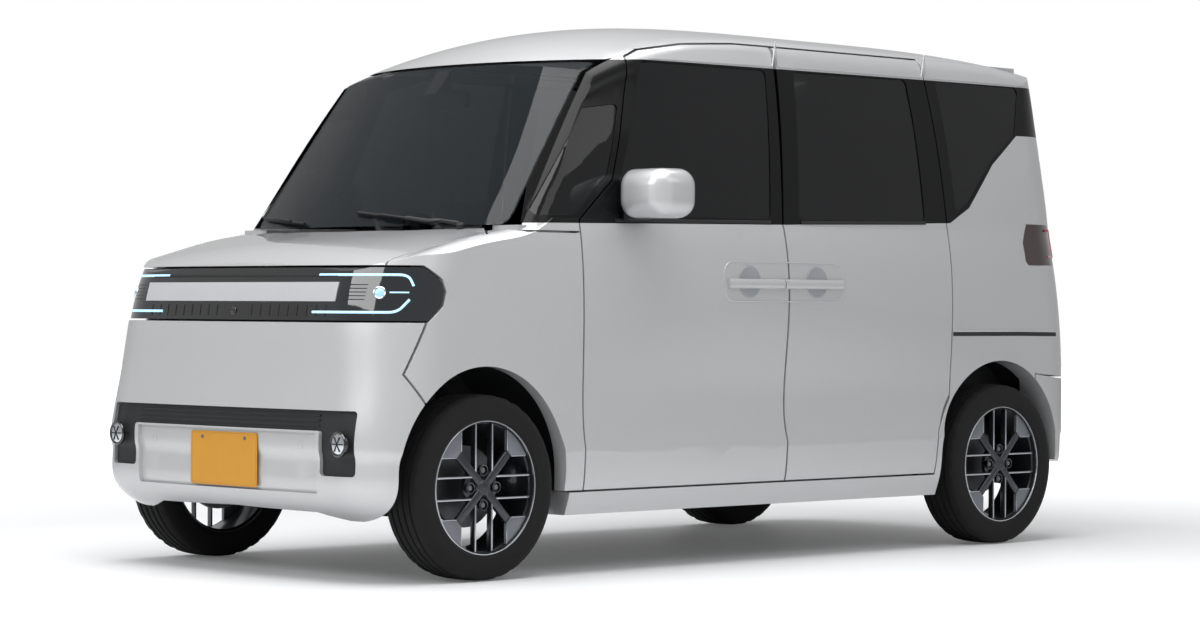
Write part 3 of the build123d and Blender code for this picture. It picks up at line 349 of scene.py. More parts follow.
def window_band(tree: bpy.types.NodeTree) -> bpy.types.NodeSocket:
    """Masks the gloss black window band by height and place along the car.

    Args:
        tree: the material's node tree.

    Returns:
        A socket that is one inside the band.
    """
    band = WindowBand()
    place = add_node(tree, "ShaderNodeSeparateXYZ", links={"Vector": object_coordinates(tree)})
    y, z = place.outputs["Y"], place.outputs["Z"]
    belt = combine(
        tree, "MINIMUM", [above_line(tree, y, z, *band.belt[:2]), above_line(tree, y, z, *band.belt[1:])]
    )
    under = [above_line(tree, y, z, *pair) for pair in zip(band.fin, band.fin[1:])]
    fin = combine(tree, "MINIMUM", [under[0], combine(tree, "MAXIMUM", under[1:])])
    over = combine(tree, "MAXIMUM", [above_line(tree, y, z, *pair) for pair in zip(band.top, band.top[1:])])
    below_top = add_node(tree, "ShaderNodeMath", {"operation": "SUBTRACT", 0: 1.0}, {1: over}).outputs[0]
    behind = add_node(
        tree, "ShaderNodeMath", {"operation": "GREATER_THAN", 1: band.fin[0][0]}, {0: y}
    ).outputs[0]
    rear_mask = combine(tree, "MULTIPLY", [behind, fin])
    ahead = add_node(tree, "ShaderNodeMath", {"operation": "SUBTRACT", 0: 1.0}, {1: behind}).outputs[0]
    front_mask = combine(tree, "MULTIPLY", [ahead, belt])
    inside = combine(tree, "MAXIMUM", [front_mask, rear_mask])
    return combine(tree, "MULTIPLY", [inside, below_top])


@dataclass(frozen=True)
class SimpleFinish:
    """A moulded, painted or metal finish with one colour, a grain and a gloss.

    Each instance below is a real material, except the scoop paint, which is the body's paint with painted
    shade, and its comment says what that gives the eye.
    """

    name: str
    colour: str
    roughness: float
    metallic: float = 0.0
    coat: float = 0.0
    coat_roughness: float = 0.03
    grain_mm: float = 0.0
    grain_height_mm: float = 0.0
    second: str = ""
    patch_mm: float = 40.0
    alpha: float = 1.0
    edge_mm: float = 0.0
    glow: float = 0.0

    def material(self) -> bpy.types.Material:
        """Builds the finish, once for each name.

        Returns:
            The material.
        """
        made = bpy.data.materials.get(self.name)
        if made:
            return made
        material, tree = new_material(self.name)
        links: dict[str | int, bpy.types.NodeSocket] = {}
        settings: dict[str | int, object] = {
            "Base Color": linear(self.colour), "Roughness": self.roughness,
            "Metallic": self.metallic, "Coat Weight": self.coat,
            "Coat Roughness": self.coat_roughness, "Alpha": self.alpha,
        }
        if self.glow > 0:
            settings["Emission Color"] = linear(self.colour)
            settings["Emission Strength"] = self.glow
        patch = add_node(
            tree, "ShaderNodeTexNoise", {"Scale": 1.0 / (self.patch_mm * MM), "Detail": 3.0},
            {"Vector": object_coordinates(tree)},
        )
        mixed = add_node(
            tree, "ShaderNodeMix",
            {"data_type": "RGBA", 6: linear(self.colour), 7: linear(self.second or self.colour)},
            {0: patch.outputs["Fac"]},
        )
        links["Base Color"] = mixed.outputs[2]
        if self.grain_mm > 0:
            links["Normal"] = grain_bump(tree, self.grain_mm, self.grain_height_mm)
        elif self.edge_mm > 0:
            rounded = add_node(tree, "ShaderNodeBevel", {"samples": 4, "Radius": self.edge_mm * MM})
            links["Normal"] = rounded.outputs["Normal"]
        finish_surface(tree, settings, links)
        return material


# Injection-moulded ABS, polished and lacquered: deep black that mirrors the studio.
GLOSS_BLACK = SimpleFinish("gloss_black_abs", "07080A", 0.10, coat=1.0, second="0D0E10", edge_mm=1.2)
# Talc-filled polypropylene with a fine moulded grain: dull charcoal with a soft sheen.
GRAINED_BLACK = SimpleFinish(
    "grained_polypropylene", "17181A", 0.55, grain_mm=0.9, grain_height_mm=0.06, second="1E1F22")
# Privacy glass, dyed through and toughened: almost black, with sharp reflections.
PRIVACY_GLASS = SimpleFinish("privacy_glass", "06080B", 0.02, alpha=0.86, second="080A0E")
# Laminated windscreen glass with a light grey-green tint: the cabin shows through, dim.
SCREEN_GLASS = SimpleFinish("laminated_glass", "1B2226", 0.02, alpha=0.46, second="20282C")
# Polycarbonate lamp cover over a black bezel: smoked and glossy.
LAMP_COVER = SimpleFinish("smoked_polycarbonate", "0C1216", 0.05, coat=1.0, second="111A20", edge_mm=1.5)
# Acrylic light guide, lit: cool pale blue with an even glow.
LIGHT_GUIDE = SimpleFinish("lit_acrylic", "A9D3EC", 0.3, glow=0.9)
# Vacuum-metallised reflector: a bright mirror with small dark reflections.
REFLECTOR = SimpleFinish("metallised_reflector", "D8DDE2", 0.12, metallic=1.0)
# Satin-painted trim bar: light silver grey with a broad soft highlight.
SATIN_BAR = SimpleFinish(
    "satin_silver_paint", "C9CBCE", 0.36, metallic=0.30, coat=0.3, second="CED0D3", edge_mm=2.0)
# Bright-rolled aluminium moulding: a thin white line of reflection.
BRIGHT_TRIM = SimpleFinish("bright_aluminium", "DADCDF", 0.16, metallic=1.0)
# Reflective plate sheeting, pressed and blank: flat yellow-orange.
PLATE_SHEET = SimpleFinish("plate_sheeting", "D3962C", 0.46, coat=0.1, second="CD9026", edge_mm=1.0)
# Carbon-black rubber of a road tyre: charcoal, matt, a little paler where it is scuffed.
TYRE_RUBBER = SimpleFinish(
    "tyre_rubber", "050506", 0.88, grain_mm=1.4, grain_height_mm=0.05, second="0A0A0C", patch_mm=60)
# Gunmetal lacquer on a cast wheel: dark grey with a metallic lift.
GUNMETAL = SimpleFinish(
    "gunmetal_lacquer", "33363B", 0.34, metallic=0.7, coat=0.6, second="3B3E44", edge_mm=1.5)
# Turned and lacquered aluminium on the wheel's face: bright silver edges.
TURNED_ALLOY = SimpleFinish("turned_aluminium", "B9BCC1", 0.24, metallic=1.0, second="C4C7CB")
# Ground cast iron of a brake disc: mid grey with fine turning marks.
DISC_IRON = SimpleFinish(
    "ground_cast_iron", "5C5D60", 0.42, metallic=1.0, grain_mm=1.0, grain_height_mm=0.03, second="6A6B6E")
# Rough cast aluminium: pale grey, pitted.
CAST_ALLOY = SimpleFinish(
    "sand_cast_aluminium", "7C7F83", 0.55, metallic=0.8, grain_mm=1.6, grain_height_mm=0.12, second="6E7175")
# Steel under a sprayed PVC sealer: dull near-black with an uneven skin.
UNDER_SEAL = SimpleFinish(
    "sprayed_sealer", "08090A", 0.85, grain_mm=4.0, grain_height_mm=0.35, second="0E0F10", patch_mm=120)
# Slush-moulded vinyl dashboard skin: dark grey, finely grained, low sheen.
DASH_SKIN = SimpleFinish(
    "slush_moulded_vinyl", "26282B", 0.5, grain_mm=1.2, grain_height_mm=0.08, second="2C2E32")
# Tail lamp acrylic, red over a smoked base: deep wine with a pink edge.
RED_ACRYLIC = SimpleFinish("red_acrylic", "25090D", 0.06, coat=1.0, second="2E0B10", edge_mm=1.5)
# Mirror glass: silvered, sharp.
MIRROR_GLASS = SimpleFinish("silvered_glass", "C9CED2", 0.02, metallic=1.0)
# Satin grey lacquer on the pressed corner panels: mid grey, brighter where it turns to the light.
PANEL_GREY = SimpleFinish(
    "satin_grey_lacquer", "777B82", 0.42, metallic=0.45, coat=0.2, second="7F838A", edge_mm=1.2)
# Black chromed bezel behind the lamp cover: dark, with a satin edge light.
DARK_BEZEL = SimpleFinish("black_chrome", "2A2E33", 0.25, metallic=0.9, coat=0.3)
# Pressed glass projector lens: cool, bright where it is lit, and very sharp.
LENS_GLASS = SimpleFinish("pressed_lens_glass", "9CC8E8", 0.05, coat=1.0, glow=0.5)
# The body's pearl paint inside the hand scoops, darkened to a cool mid grey as painted half shadow, with a
# soft gloss.
SCOOP_PAINTED_SHADE = SimpleFinish("pearl_paint_painted_scoop_shade", "A4A8AD", 0.30, coat=1.0, second="9A9EA4")
# Lit acrylic guide of the tail lamp: pale pinkish red.
PINK_ACRYLIC = SimpleFinish("lit_red_acrylic", "B4636D", 0.15, coat=1.0, glow=0.12)


@dataclass(frozen=True)
class WovenSeatCloth:
    """Polyester seat cloth woven from 0.9 mm yarn, drawn at 3 mm so that it shows.

    The crossing yarns give a soft check, and the pile gives a pale sheen at grazing angles.
    """

    name: str = "woven_polyester"
    warp: str = "24262A"
    weft: str = "33363C"
    pitch_mm: float = 3.0

    def material(self) -> bpy.types.Material:
        """Builds the cloth, once.

        Returns:
            The material.
        """
        made = bpy.data.materials.get(self.name)
        if made:
            return made
        material, tree = new_material(self.name)
        place = object_coordinates(tree)
        scale = 1.0 / (self.pitch_mm * MM)
        waves = [
            add_node(
                tree, "ShaderNodeTexWave",
                {"wave_type": "BANDS", "bands_direction": way, "Scale": scale / 20, "Distortion": 0.6,
                 "Detail": 1.0},
                {"Vector": place},
            )
            for way in ("X", "Z")
        ]
        weave = add_node(
            tree, "ShaderNodeMath", {"operation": "MULTIPLY"},
            {0: waves[0].outputs["Fac"], 1: waves[1].outputs["Fac"]},
        )
        mixed = add_node(
            tree, "ShaderNodeMix", {"data_type": "RGBA", 6: linear(self.warp), 7: linear(self.weft)},
            {0: weave.outputs[0]},
        )
        bump = add_node(
            tree, "ShaderNodeBump", {"Strength": 0.6, "Distance": 0.4 * MM}, {"Height": weave.outputs[0]}
        )
        finish_surface(
            tree, {"Roughness": 0.9, "Sheen Weight": 0.3, "Sheen Roughness": 0.5},
            {"Base Color": mixed.outputs[2], "Normal": bump.outputs["Normal"]},
        )
        return material


SEAT_CLOTH = WovenSeatCloth()


# Camera and studio ------------------------------------------------------------


@dataclass(frozen=True)
class View:
    """Where the camera stands and how it is turned. Angles are in degrees."""

    position: Point3 = (7.9618, -7.8326, 0.8226)
    azimuth: float = 45.7635
    pitch: float = -0.1123
    roll: float = 0.3148
    lens_mm: float = 97.69
    sensor_mm: float = 36.0

    def place(self) -> bpy.types.Object:
        """Makes the camera and gives it to the scene.

        Returns:
            The camera object.
        """
        azimuth, pitch, roll = (math.radians(a) for a in (self.azimuth, self.pitch, self.roll))
        forward = Vector((
            -math.sin(azimuth) * math.cos(pitch), math.cos(azimuth) * math.cos(pitch), math.sin(pitch)))
        right = Vector((math.cos(azimuth), math.sin(azimuth), 0))
        up = right.cross(forward)
        turned_right = math.cos(roll) * right + math.sin(roll) * up
        turned_up = math.cos(roll) * up - math.sin(roll) * right
        data = bpy.data.cameras.new("camera")
        data.lens = self.lens_mm
        data.sensor_width = self.sensor_mm
        data.clip_end = 100
        camera = bpy.data.objects.new("camera", data)
        turn = Matrix((turned_right, turned_up, -forward)).transposed()
        camera.matrix_world = Matrix.Translation(self.position) @ turn.to_4x4()
        bpy.context.collection.objects.link(camera)
        bpy.context.scene.camera = camera
        return camera


@dataclass(frozen=True)
class SoftBox:
    """One area light: where it hangs, where it points, its size in metres and its power in watts."""

    name: str
    position: Point3
    target: Point3
    width: float
    depth: float
    power: float


@dataclass
class Studio:
    """Pale floor, soft boxes and an even pale sky."""

    boxes: tuple[SoftBox, ...] = (
        SoftBox("overhead", (0.3, -0.9, 5.2), (0.0, -0.3, 0.9), 4.6, 6.5, 340.0),
        SoftBox("left_wall", (5.6, 0.6, 4.4), (0.6, 0.2, 1.0), 5.5, 2.2, 40.0),
        SoftBox("front_wall", (0.2, -6.6, 4.0), (0.0, -1.4, 0.8), 4.5, 2.2, 130.0),
    )
    sky: str = "FFFFFF"
    sky_strength: float = 0.30
    mirrored: float = 0.22
    floor_size: float = 60.0
    near_floor_glow: float = 0.10
    shadow_to: float = 2.4
    plain_from: float = 6.5
    mottle_mm: float = 900.0

    def build(self) -> None:
        """Makes the world, the lights and the floor."""
        bpy.context.scene.view_settings.view_transform = "Standard"
        self.light_sky()
        self.hang_boxes()
        self.lay_floor()
        log.info("studio: floor and %d lights", len(self.boxes))

    def light_sky(self) -> None:
        """Makes the world: dim on the car, white to the camera and through glass."""
        world = bpy.data.worlds.new("studio")
        bpy.context.scene.world = world
        world.use_nodes = True
        world.node_tree.nodes.clear()
        ray = add_node(world.node_tree, "ShaderNodeLightPath")
        seen = add_node(
            world.node_tree, "ShaderNodeMath", {"operation": "MAXIMUM"},
            {0: ray.outputs["Is Camera Ray"], 1: ray.outputs["Is Transmission Ray"]})
        mirrored = add_node(
            world.node_tree, "ShaderNodeMath", {"operation": "MULTIPLY", 1: self.mirrored},
            {0: ray.outputs["Is Glossy Ray"]})
        plain = add_node(
            world.node_tree, "ShaderNodeMath", {"operation": "MAXIMUM"},
            {0: seen.outputs[0], 1: mirrored.outputs[0]})
        strength = add_node(
            world.node_tree, "ShaderNodeMapRange", {"To Min": self.sky_strength, "To Max": 1.0},
            {"Value": plain.outputs[0]})
        sky = add_node(
            world.node_tree, "ShaderNodeBackground", {"Color": linear(self.sky)},
            {"Strength": strength.outputs["Result"]})
        add_node(world.node_tree, "ShaderNodeOutputWorld", links={"Surface": sky.outputs[0]})

    def hang_boxes(self) -> None:
        """Makes the soft boxes."""
        for box in self.boxes:
            data = bpy.data.lights.new(box.name, "AREA")
            data.shape = "RECTANGLE"
            data.size, data.size_y, data.energy = box.width, box.depth, box.power
            light = bpy.data.objects.new(box.name, data)
            light.location = box.position
            aim = Vector(box.target) - Vector(box.position)
            light.rotation_euler = aim.to_track_quat("-Z", "Y").to_euler()
            bpy.context.collection.objects.link(light)

    def lay_floor(self) -> None:
        """Makes the floor."""
        mesh = bpy.data.meshes.new("floor")
        half = self.floor_size / 2
        corners = [(-half, -half, 0), (half, -half, 0), (half, half, 0), (-half, half, 0)]
        mesh.from_pydata(corners, [], [(0, 1, 2, 3)])
        floor = bpy.data.objects.new("floor", mesh)
        bpy.context.collection.objects.link(floor)
        mesh.materials.append(self.floor_paint())

    def floor_paint(self) -> bpy.types.Material:
        """Makes the floor's white eggshell paint and a painted glow that only the camera sees: faint near the
        car, so that its shadow stays, and full from plain_from on, so that the far floor is as pale as the
        sky.

        Returns:
            The floor's material.
        """
        material, tree = new_material("floor_paint_with_painted_glow")
        mottle = add_node(
            tree, "ShaderNodeTexNoise", {"Scale": 1.0 / (self.mottle_mm * MM), "Detail": 2.0},
            {"Vector": object_coordinates(tree)})
        colour = add_node(
            tree, "ShaderNodeMix", {"data_type": "RGBA", 6: linear("F2F3F4"), 7: linear("EEEFF1")},
            {0: mottle.outputs["Fac"]})
        ray = add_node(tree, "ShaderNodeLightPath")
        reach = add_node(
            tree, "ShaderNodeVectorMath", {"operation": "LENGTH"}, {0: object_coordinates(tree)})
        away = add_node(
            tree, "ShaderNodeMapRange",
            {"From Min": self.shadow_to, "From Max": self.plain_from,
             "To Min": self.near_floor_glow, "To Max": 1.0},
            {"Value": reach.outputs["Value"]})
        # painted light: the floor's glow for camera rays rises with distance from the car's middle
        lift = add_node(
            tree, "ShaderNodeMath", {"operation": "MULTIPLY"},
            {0: ray.outputs["Is Camera Ray"], 1: away.outputs["Result"]})
        finish_surface(
            tree, {"Roughness": 0.5, "Emission Color": linear("F2F3F4")},
            {"Base Color": colour.outputs[2], "Emission Strength": lift.outputs[0]})
        return material


# Mesh helpers -----------------------------------------------------------------


def finished_piece(
    name: str, shape: bmesh.types.BMesh, finish: Finish, body: str, crease: float = 32.0
) -> bpy.types.Object:
    """Turns a bmesh into a piece that rides on a body.

    Args:
        name: the piece's name.
        shape: the mesh under construction, freed here.
        finish: what the piece is made of.
        body: the CAD body that the piece moves with.
        crease: edges sharper than this many degrees stay sharp.

    Returns:
        The new object.
    """
    bmesh.ops.recalc_face_normals(shape, faces=shape.faces)
    limit = math.radians(crease)
    for face in shape.faces:
        face.smooth = True
    for edge in shape.edges:
        if len(edge.link_faces) == 2 and edge.calc_face_angle(0.0) > limit:
            edge.smooth = False
    mesh = bpy.data.meshes.new(name)
    shape.to_mesh(mesh)
    shape.free()
    mesh.materials.append(finish.material())
    made = bpy.data.objects.new(name, mesh)
    bpy.context.collection.objects.link(made)
    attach(made, body)
    log.info("piece %s: %d faces on %s", name, len(mesh.polygons), body)
    return made


def rounded(points: Sequence[Point2], radius: float, steps: int = 5, closed: bool = True) -> list[Vector]:
    """Rounds the corners of a 2-D line.

    Args:
        points: the corners.
        radius: the corner radius, made smaller where a run is too short for it.
        steps: points on each rounded corner.
        closed: whether the line comes back to its start.

    Returns:
        The rounded line's points.
    """
    corners = [Vector(p) for p in points]
    count = len(corners)
    line: list[Vector] = []
    for i, corner in enumerate(corners):
        if not closed and i in (0, count - 1):
            line.append(corner)
            continue
        before, after = corners[i - 1] - corner, corners[(i + 1) % count] - corner
        angle = before.angle(after, math.pi)
        if radius <= 0 or angle > math.radians(176):
            line.append(corner)
            continue
        reach = min(radius / math.tan(angle / 2), before.length * 0.49, after.length * 0.49)
        start = corner + before.normalized() * reach
        end = corner + after.normalized() * reach
        for step in range(steps + 1):
            t = step / steps
            line.append((1 - t) ** 2 * start + 2 * t * (1 - t) * corner + t**2 * end)
    return line


def swept(
    shape: bmesh.types.BMesh, path: Sequence[Vector], normals: Sequence[Vector],
    section: Sequence[Point2], closed: bool = False,
) -> None:
    """Sweeps a section along a path that lies on a surface.

    Args:
        shape: the mesh that gets the sweep.
        path: the points of the path.
        normals: the surface's normal at each point.
        section: (across, up) points of the section.
        closed: whether the path is a loop.
    """
    count = len(path)
    rings = []
    for i, point in enumerate(path):
        before = path[i - 1] if i > 0 or closed else point
        after = path[(i + 1) % count] if i < count - 1 or closed else point
        along = (after - before).normalized()
        up = (normals[i] - normals[i].dot(along) * along).normalized()
        across = along.cross(up)
        rings.append([shape.verts.new(point + across * a + up * b) for a, b in section])
    size = len(section)
    for i in range(count if closed else count - 1):
        ring, other = rings[i], rings[(i + 1) % count]
        for j in range(size):
            shape.faces.new((ring[j], ring[(j + 1) % size], other[(j + 1) % size], other[j]))
    if not closed:
        shape.faces.new(rings[0])
        shape.faces.new(list(reversed(rings[-1])))


def lens_section(width: float, height: float, sink: float = 0.0015, steps: int = 6) -> list[Point2]:
    """Gives a low rounded section, sunk a little into the surface that it lies on.

    Args:
        width: the section's width.
        height: its height over the surface.
        sink: how deep its foot is sunk.
        steps: steps of the rounded top.

    Returns:
        (across, up) points of the section.
    """
    arc = [
        (-math.cos(math.pi * i / steps) * width / 2, math.sin(math.pi * i / steps) ** 0.6 * height)
        for i in range(steps + 1)
    ]
    return [(-width / 2, -sink)] + arc + [(width / 2, -sink)]


def rounded_block(
    shape: bmesh.types.BMesh, middle: Point3, size: Point3, radius: float,
    turn: Matrix | None = None, segments: int = 3,
) -> list[bmesh.types.BMVert]:
    """Adds a block with rounded edges.

    Args:
        shape: the mesh that gets the block.
        middle: its middle.
        size: its size along its own axes.
        radius: the rounding.
        turn: a rotation of its axes.
        segments: steps of the rounding.

    Returns:
        The block's vertices.
    """
    part = bmesh.new()
    bmesh.ops.create_cube(part, size=1.0)
    bmesh.ops.scale(part, vec=size, verts=part.verts)
    bmesh.ops.bevel(
        part, geom=list(part.edges), offset=min(radius, min(size) * 0.49), segments=segments,
        profile=0.5, affect="EDGES", material=-1)
    if turn:
        bmesh.ops.rotate(part, matrix=turn, verts=part.verts)
    bmesh.ops.translate(part, vec=middle, verts=part.verts)
    return absorb(shape, part)


def absorb(shape: bmesh.types.BMesh, part: bmesh.types.BMesh) -> list[bmesh.types.BMVert]:
    """Copies one bmesh into another and frees it.

    Args:
        shape: the mesh that grows.
        part: the mesh that is copied and freed.

    Returns:
        The new vertices in shape.
    """
    placed = {vert.index: shape.verts.new(vert.co) for vert in indexed(part)}
    for face in part.faces:
        shape.faces.new([placed[vert.index] for vert in face.verts])
    part.free()
    return list(placed.values())


def indexed(part: bmesh.types.BMesh) -> Iterable[bmesh.types.BMVert]:
    """Numbers a bmesh's vertices.

    Args:
        part: the mesh.

    Returns:
        Its vertices.
    """
    part.verts.index_update()
    return part.verts


def turned_ring(
    shape: bmesh.types.BMesh, profile: Sequence[Point2], middle: Point3, way: int, steps: int = 96
) -> None:
    """Turns a profile once round the wheel's axle.

    Args:
        shape: the mesh that gets the ring.
        profile: (outwards from the wheel's middle plane, radius) points of a closed section.
        middle: the wheel's middle.
        way: one for a left wheel and minus one for a right wheel.
        steps: steps round the turn.
    """
    part = bmesh.new()
    verts = [part.verts.new((way * out, 0, radius)) for out, radius in profile]
    edges = [part.edges.new((verts[i], verts[(i + 1) % len(verts)])) for i in range(len(verts))]
    bmesh.ops.spin(
        part, geom=verts + edges, cent=(0, 0, 0), axis=(1, 0, 0), angle=2 * math.pi, steps=steps,
        use_merge=True, use_duplicate=False)
    bmesh.ops.translate(part, vec=middle, verts=part.verts)
    absorb(shape, part)


# Surface of the body, for trim that follows it --------------------------------

PAINTED = (
    "body_shell", "roof_panel", "front_fenders", "front_bumper", "rear_bumper", "bonnet", "tailgate",
    "cowl_panel", "front_door_left", "front_door_right", "sliding_door_left", "sliding_door_right",
)
SKIN = PAINTED + (
    "bumper_insert", "grille_panel", "grille_bar", "headlamps", "fog_lamps", "tail_lamps", "windscreen",
    "side_windows", "door_glass_left", "door_glass_right", "tailgate_glass",
)


class Skin:
    """The car's outer surface, which trim is laid on by casting rays at it."""

    beside: float = 1.5
    beyond: float = 2.6
    reach: float = 1.2

    def __init__(self, nodes: Iterable[str]) -> None:
        """Joins the nodes' meshes in one search tree.

        Args:
            nodes: names of CAD nodes.
        """
        points: list[Vector] = []
        faces: list[tuple[int, ...]] = []
        for node in nodes:
            mesh = bpy.data.objects[node].data
            first = len(points)
            points.extend(vert.co.copy() for vert in mesh.vertices)
            faces.extend(tuple(first + i for i in face.vertices) for face in mesh.polygons)
        self.tree = BVHTree.FromPolygons(points, faces)

    def cast(self, place: Point2, facing: Facing, side: Side = Side.LEFT) -> tuple[Vector, Vector]:
        """Finds where a straight view of the car meets it.

        Args:
            place: (x, z) in a view from the front or rear, (y, z) in a view of a flank.
            facing: the side that is looked at.
            side: which flank.

        Returns:
            The point on the skin and the outward normal there.
        """
        if facing is Facing.FLANK:
            start, way = Vector((side.value * self.beside, place[0], place[1])), Vector((-side.value, 0, 0))
        elif facing is Facing.FRONT:
            start, way = Vector((place[0], -self.beyond, place[1])), Vector((0, 1, 0))
        else:
            start, way = Vector((place[0], self.beyond, place[1])), Vector((0, -1, 0))
        hit, normal, _, _ = self.tree.ray_cast(start, way)
        if hit is None:
            hit, normal, _, _ = self.tree.find_nearest(start + way * self.reach)
        if normal.dot(way) > 0:
            normal = -normal
        return hit, normal


SHELL_SKIN = Skin(SKIN)


@dataclass
class Ribbon:
    """A narrow moulding that follows the skin along a line of (x, z) or (y, z) points."""

    points: Sequence[Point2]
    width: float
    height: float
    facing: Facing = Facing.FLANK
    side: Side = Side.LEFT
    radius: float = 0.0
    closed: bool = False
    step: float = 0.012
    lift: float = 0.0
    jump: float = 0.060

    def lay(self, shape: bmesh.types.BMesh) -> None:
        """Lays the moulding on the skin.

        Args:
            shape: the mesh that gets the moulding.
        """
        line = rounded(self.points, self.radius, closed=self.closed)
        ends = line[1:] + ([line[0]] if self.closed else [])
        spots: list[Vector] = []
        for start, end in zip(line, ends):
            cuts = max(1, int((end - start).length / self.step))
            spots.extend(start.lerp(end, i / cuts) for i in range(cuts))
        if not self.closed:
            spots.append(line[-1])
        hits = self.steady([SHELL_SKIN.cast((p.x, p.y), self.facing, self.side) for p in spots])
        normals = [normal for _, normal in hits]
        count = len(hits)
        for _ in range(2):
            normals = [
                (normals[max(i - 1, 0)] + normals[i] + normals[min(i + 1, count - 1)]).normalized()
                for i in range(count)
            ]
        path = [hit + normal * self.lift for (hit, _), normal in zip(hits, normals)]
        swept(shape, path, normals, lens_section(self.width, self.height), self.closed)

    def steady(self, hits: Sequence[tuple[Vector, Vector]]) -> list[tuple[Vector, Vector]]:
        """Carries the last depth over the open gaps between panels.

        Args:
            hits: points and normals on the skin, in order along the line.

        Returns:
            The same points, with none deep inside the body.
        """
        depth = 0 if self.facing is Facing.FLANK else 1
        kept = [hits[0]]
        for hit, normal in hits[1:]:
            last, lean = kept[-1]
            if abs(hit[depth] - last[depth]) > self.jump:
                spot = hit.copy()
                spot[depth] = last[depth]
                kept.append((spot, lean))
            else:
                kept.append((hit, normal))
        return kept


def panel_shading(crease_deg: float) -> bpy.types.NodeTree:
    """Makes the modifier that shades pressed panels smooth between their real edges.

    Args:
        crease_deg: edges sharper than this stay sharp.

    Returns:
        A geometry node group.
    """
    group = bpy.data.node_groups.new("panel_shading", "GeometryNodeTree")
    group.interface.new_socket("Geometry", in_out="INPUT", socket_type="NodeSocketGeometry")
    group.interface.new_socket("Geometry", in_out="OUTPUT", socket_type="NodeSocketGeometry")
    source = add_node(group, "NodeGroupInput")
    merged = add_node(
        group, "GeometryNodeMergeByDistance", {"Distance": 0.02 * MM}, {"Geometry": source.outputs[0]})
    smooth = add_node(
        group, "GeometryNodeSetShadeSmooth", {"domain": "FACE"}, {"Geometry": merged.outputs[0]})
    angle = add_node(group, "GeometryNodeInputMeshEdgeAngle")
    sharp = add_node(
        group, "FunctionNodeCompare",
        {"data_type": "FLOAT", "operation": "GREATER_THAN", 1: math.radians(crease_deg)},
        {0: angle.outputs["Unsigned Angle"]})
    edged = add_node(
        group, "GeometryNodeSetShadeSmooth", {"domain": "EDGE", "Shade Smooth": False},
        {"Geometry": smooth.outputs[0], "Selection": sharp.outputs[0]})
    add_node(group, "NodeGroupOutput", links={0: edged.outputs[0]})
    return group


@dataclass
class CarFinish:
    """Gives every CAD node that stays its real material and smooth panel shading."""

    crease_deg: float = 24.0

    def materials(self) -> dict[str, bpy.types.Material]:
        """Lists the material of each CAD node.

        Returns:
            Materials by the node's name.
        """
        banded = PearlPaint(band=True).material()
        plain = PearlPaint().material()
        chosen = {node: plain for node in PAINTED}
        for node in ("body_shell", "front_door_left", "front_door_right", "sliding_door_left",
                     "sliding_door_right"):
            chosen[node] = banded
        groups = {
            PRIVACY_GLASS: ("side_windows", "door_glass_left", "door_glass_right", "tailgate_glass"),
            SCREEN_GLASS: ("windscreen",),
            GLOSS_BLACK: ("grille_panel", "cabin_mirror"),
            LAMP_COVER: ("headlamps",),
            GRAINED_BLACK: ("cowl_panel", "bumper_insert", "wheel_liners"),
            SATIN_BAR: ("grille_bar",),
            REFLECTOR: ("fog_lamps",),
            RED_ACRYLIC: ("tail_lamps",),
            PLATE_SHEET: ("number_plate_front", "number_plate_rear"),
            DISC_IRON: ("brake_front_left", "brake_front_right", "brake_rear_left", "brake_rear_right"),
            CAST_ALLOY: ("knuckle_left", "knuckle_right"),
            UNDER_SEAL: ("floor_pan", "front_suspension", "rear_axle", "battery_pack", "drive_unit"),
            GUNMETAL: ("rim_front_left", "rim_front_right", "rim_rear_left", "rim_rear_right"),
            DASH_SKIN: ("dashboard", "steering_wheel"),
        }
        for finish, nodes in groups.items():
            for node in nodes:
                chosen[node] = finish.material()
        for node in ("door_mirror_left", "door_mirror_right"):
            chosen[node] = plain
        return chosen

    def apply(self) -> None:
        """Assigns the materials and the shading modifier."""
        group = panel_shading(self.crease_deg)
        for node, material in self.materials().items():
            target = bpy.data.objects[node]
            if not target.material_slots:
                target.data.materials.append(material)
            for place in target.material_slots:
                place.material = material
            modifier = target.modifiers.new("panel_shading", "NODES")
            modifier.node_group = group
        log.info("finishes set on the CAD nodes")


# Wheels -----------------------------------------------------------------------


@dataclass(frozen=True)
class WheelPlace:
    """One wheel: its CAD names, its middle and the side that it faces."""

    tag: str
    body: str
    side: Side

    def middle(self) -> Vector:
        """Reads the wheel's middle from its CAD tyre.

        Returns:
            The middle.
        """
        low, high = (Vector(corner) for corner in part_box(f"tyre_{self.tag}"))
        return (low + high) / 2


WHEELS = (
    WheelPlace("front_left", "wheel_front_left", Side.LEFT),
    WheelPlace("front_right", "wheel_front_right", Side.RIGHT),
    WheelPlace("rear_left", "wheel_rear_left", Side.LEFT),
    WheelPlace("rear_right", "wheel_rear_right", Side.RIGHT),
)


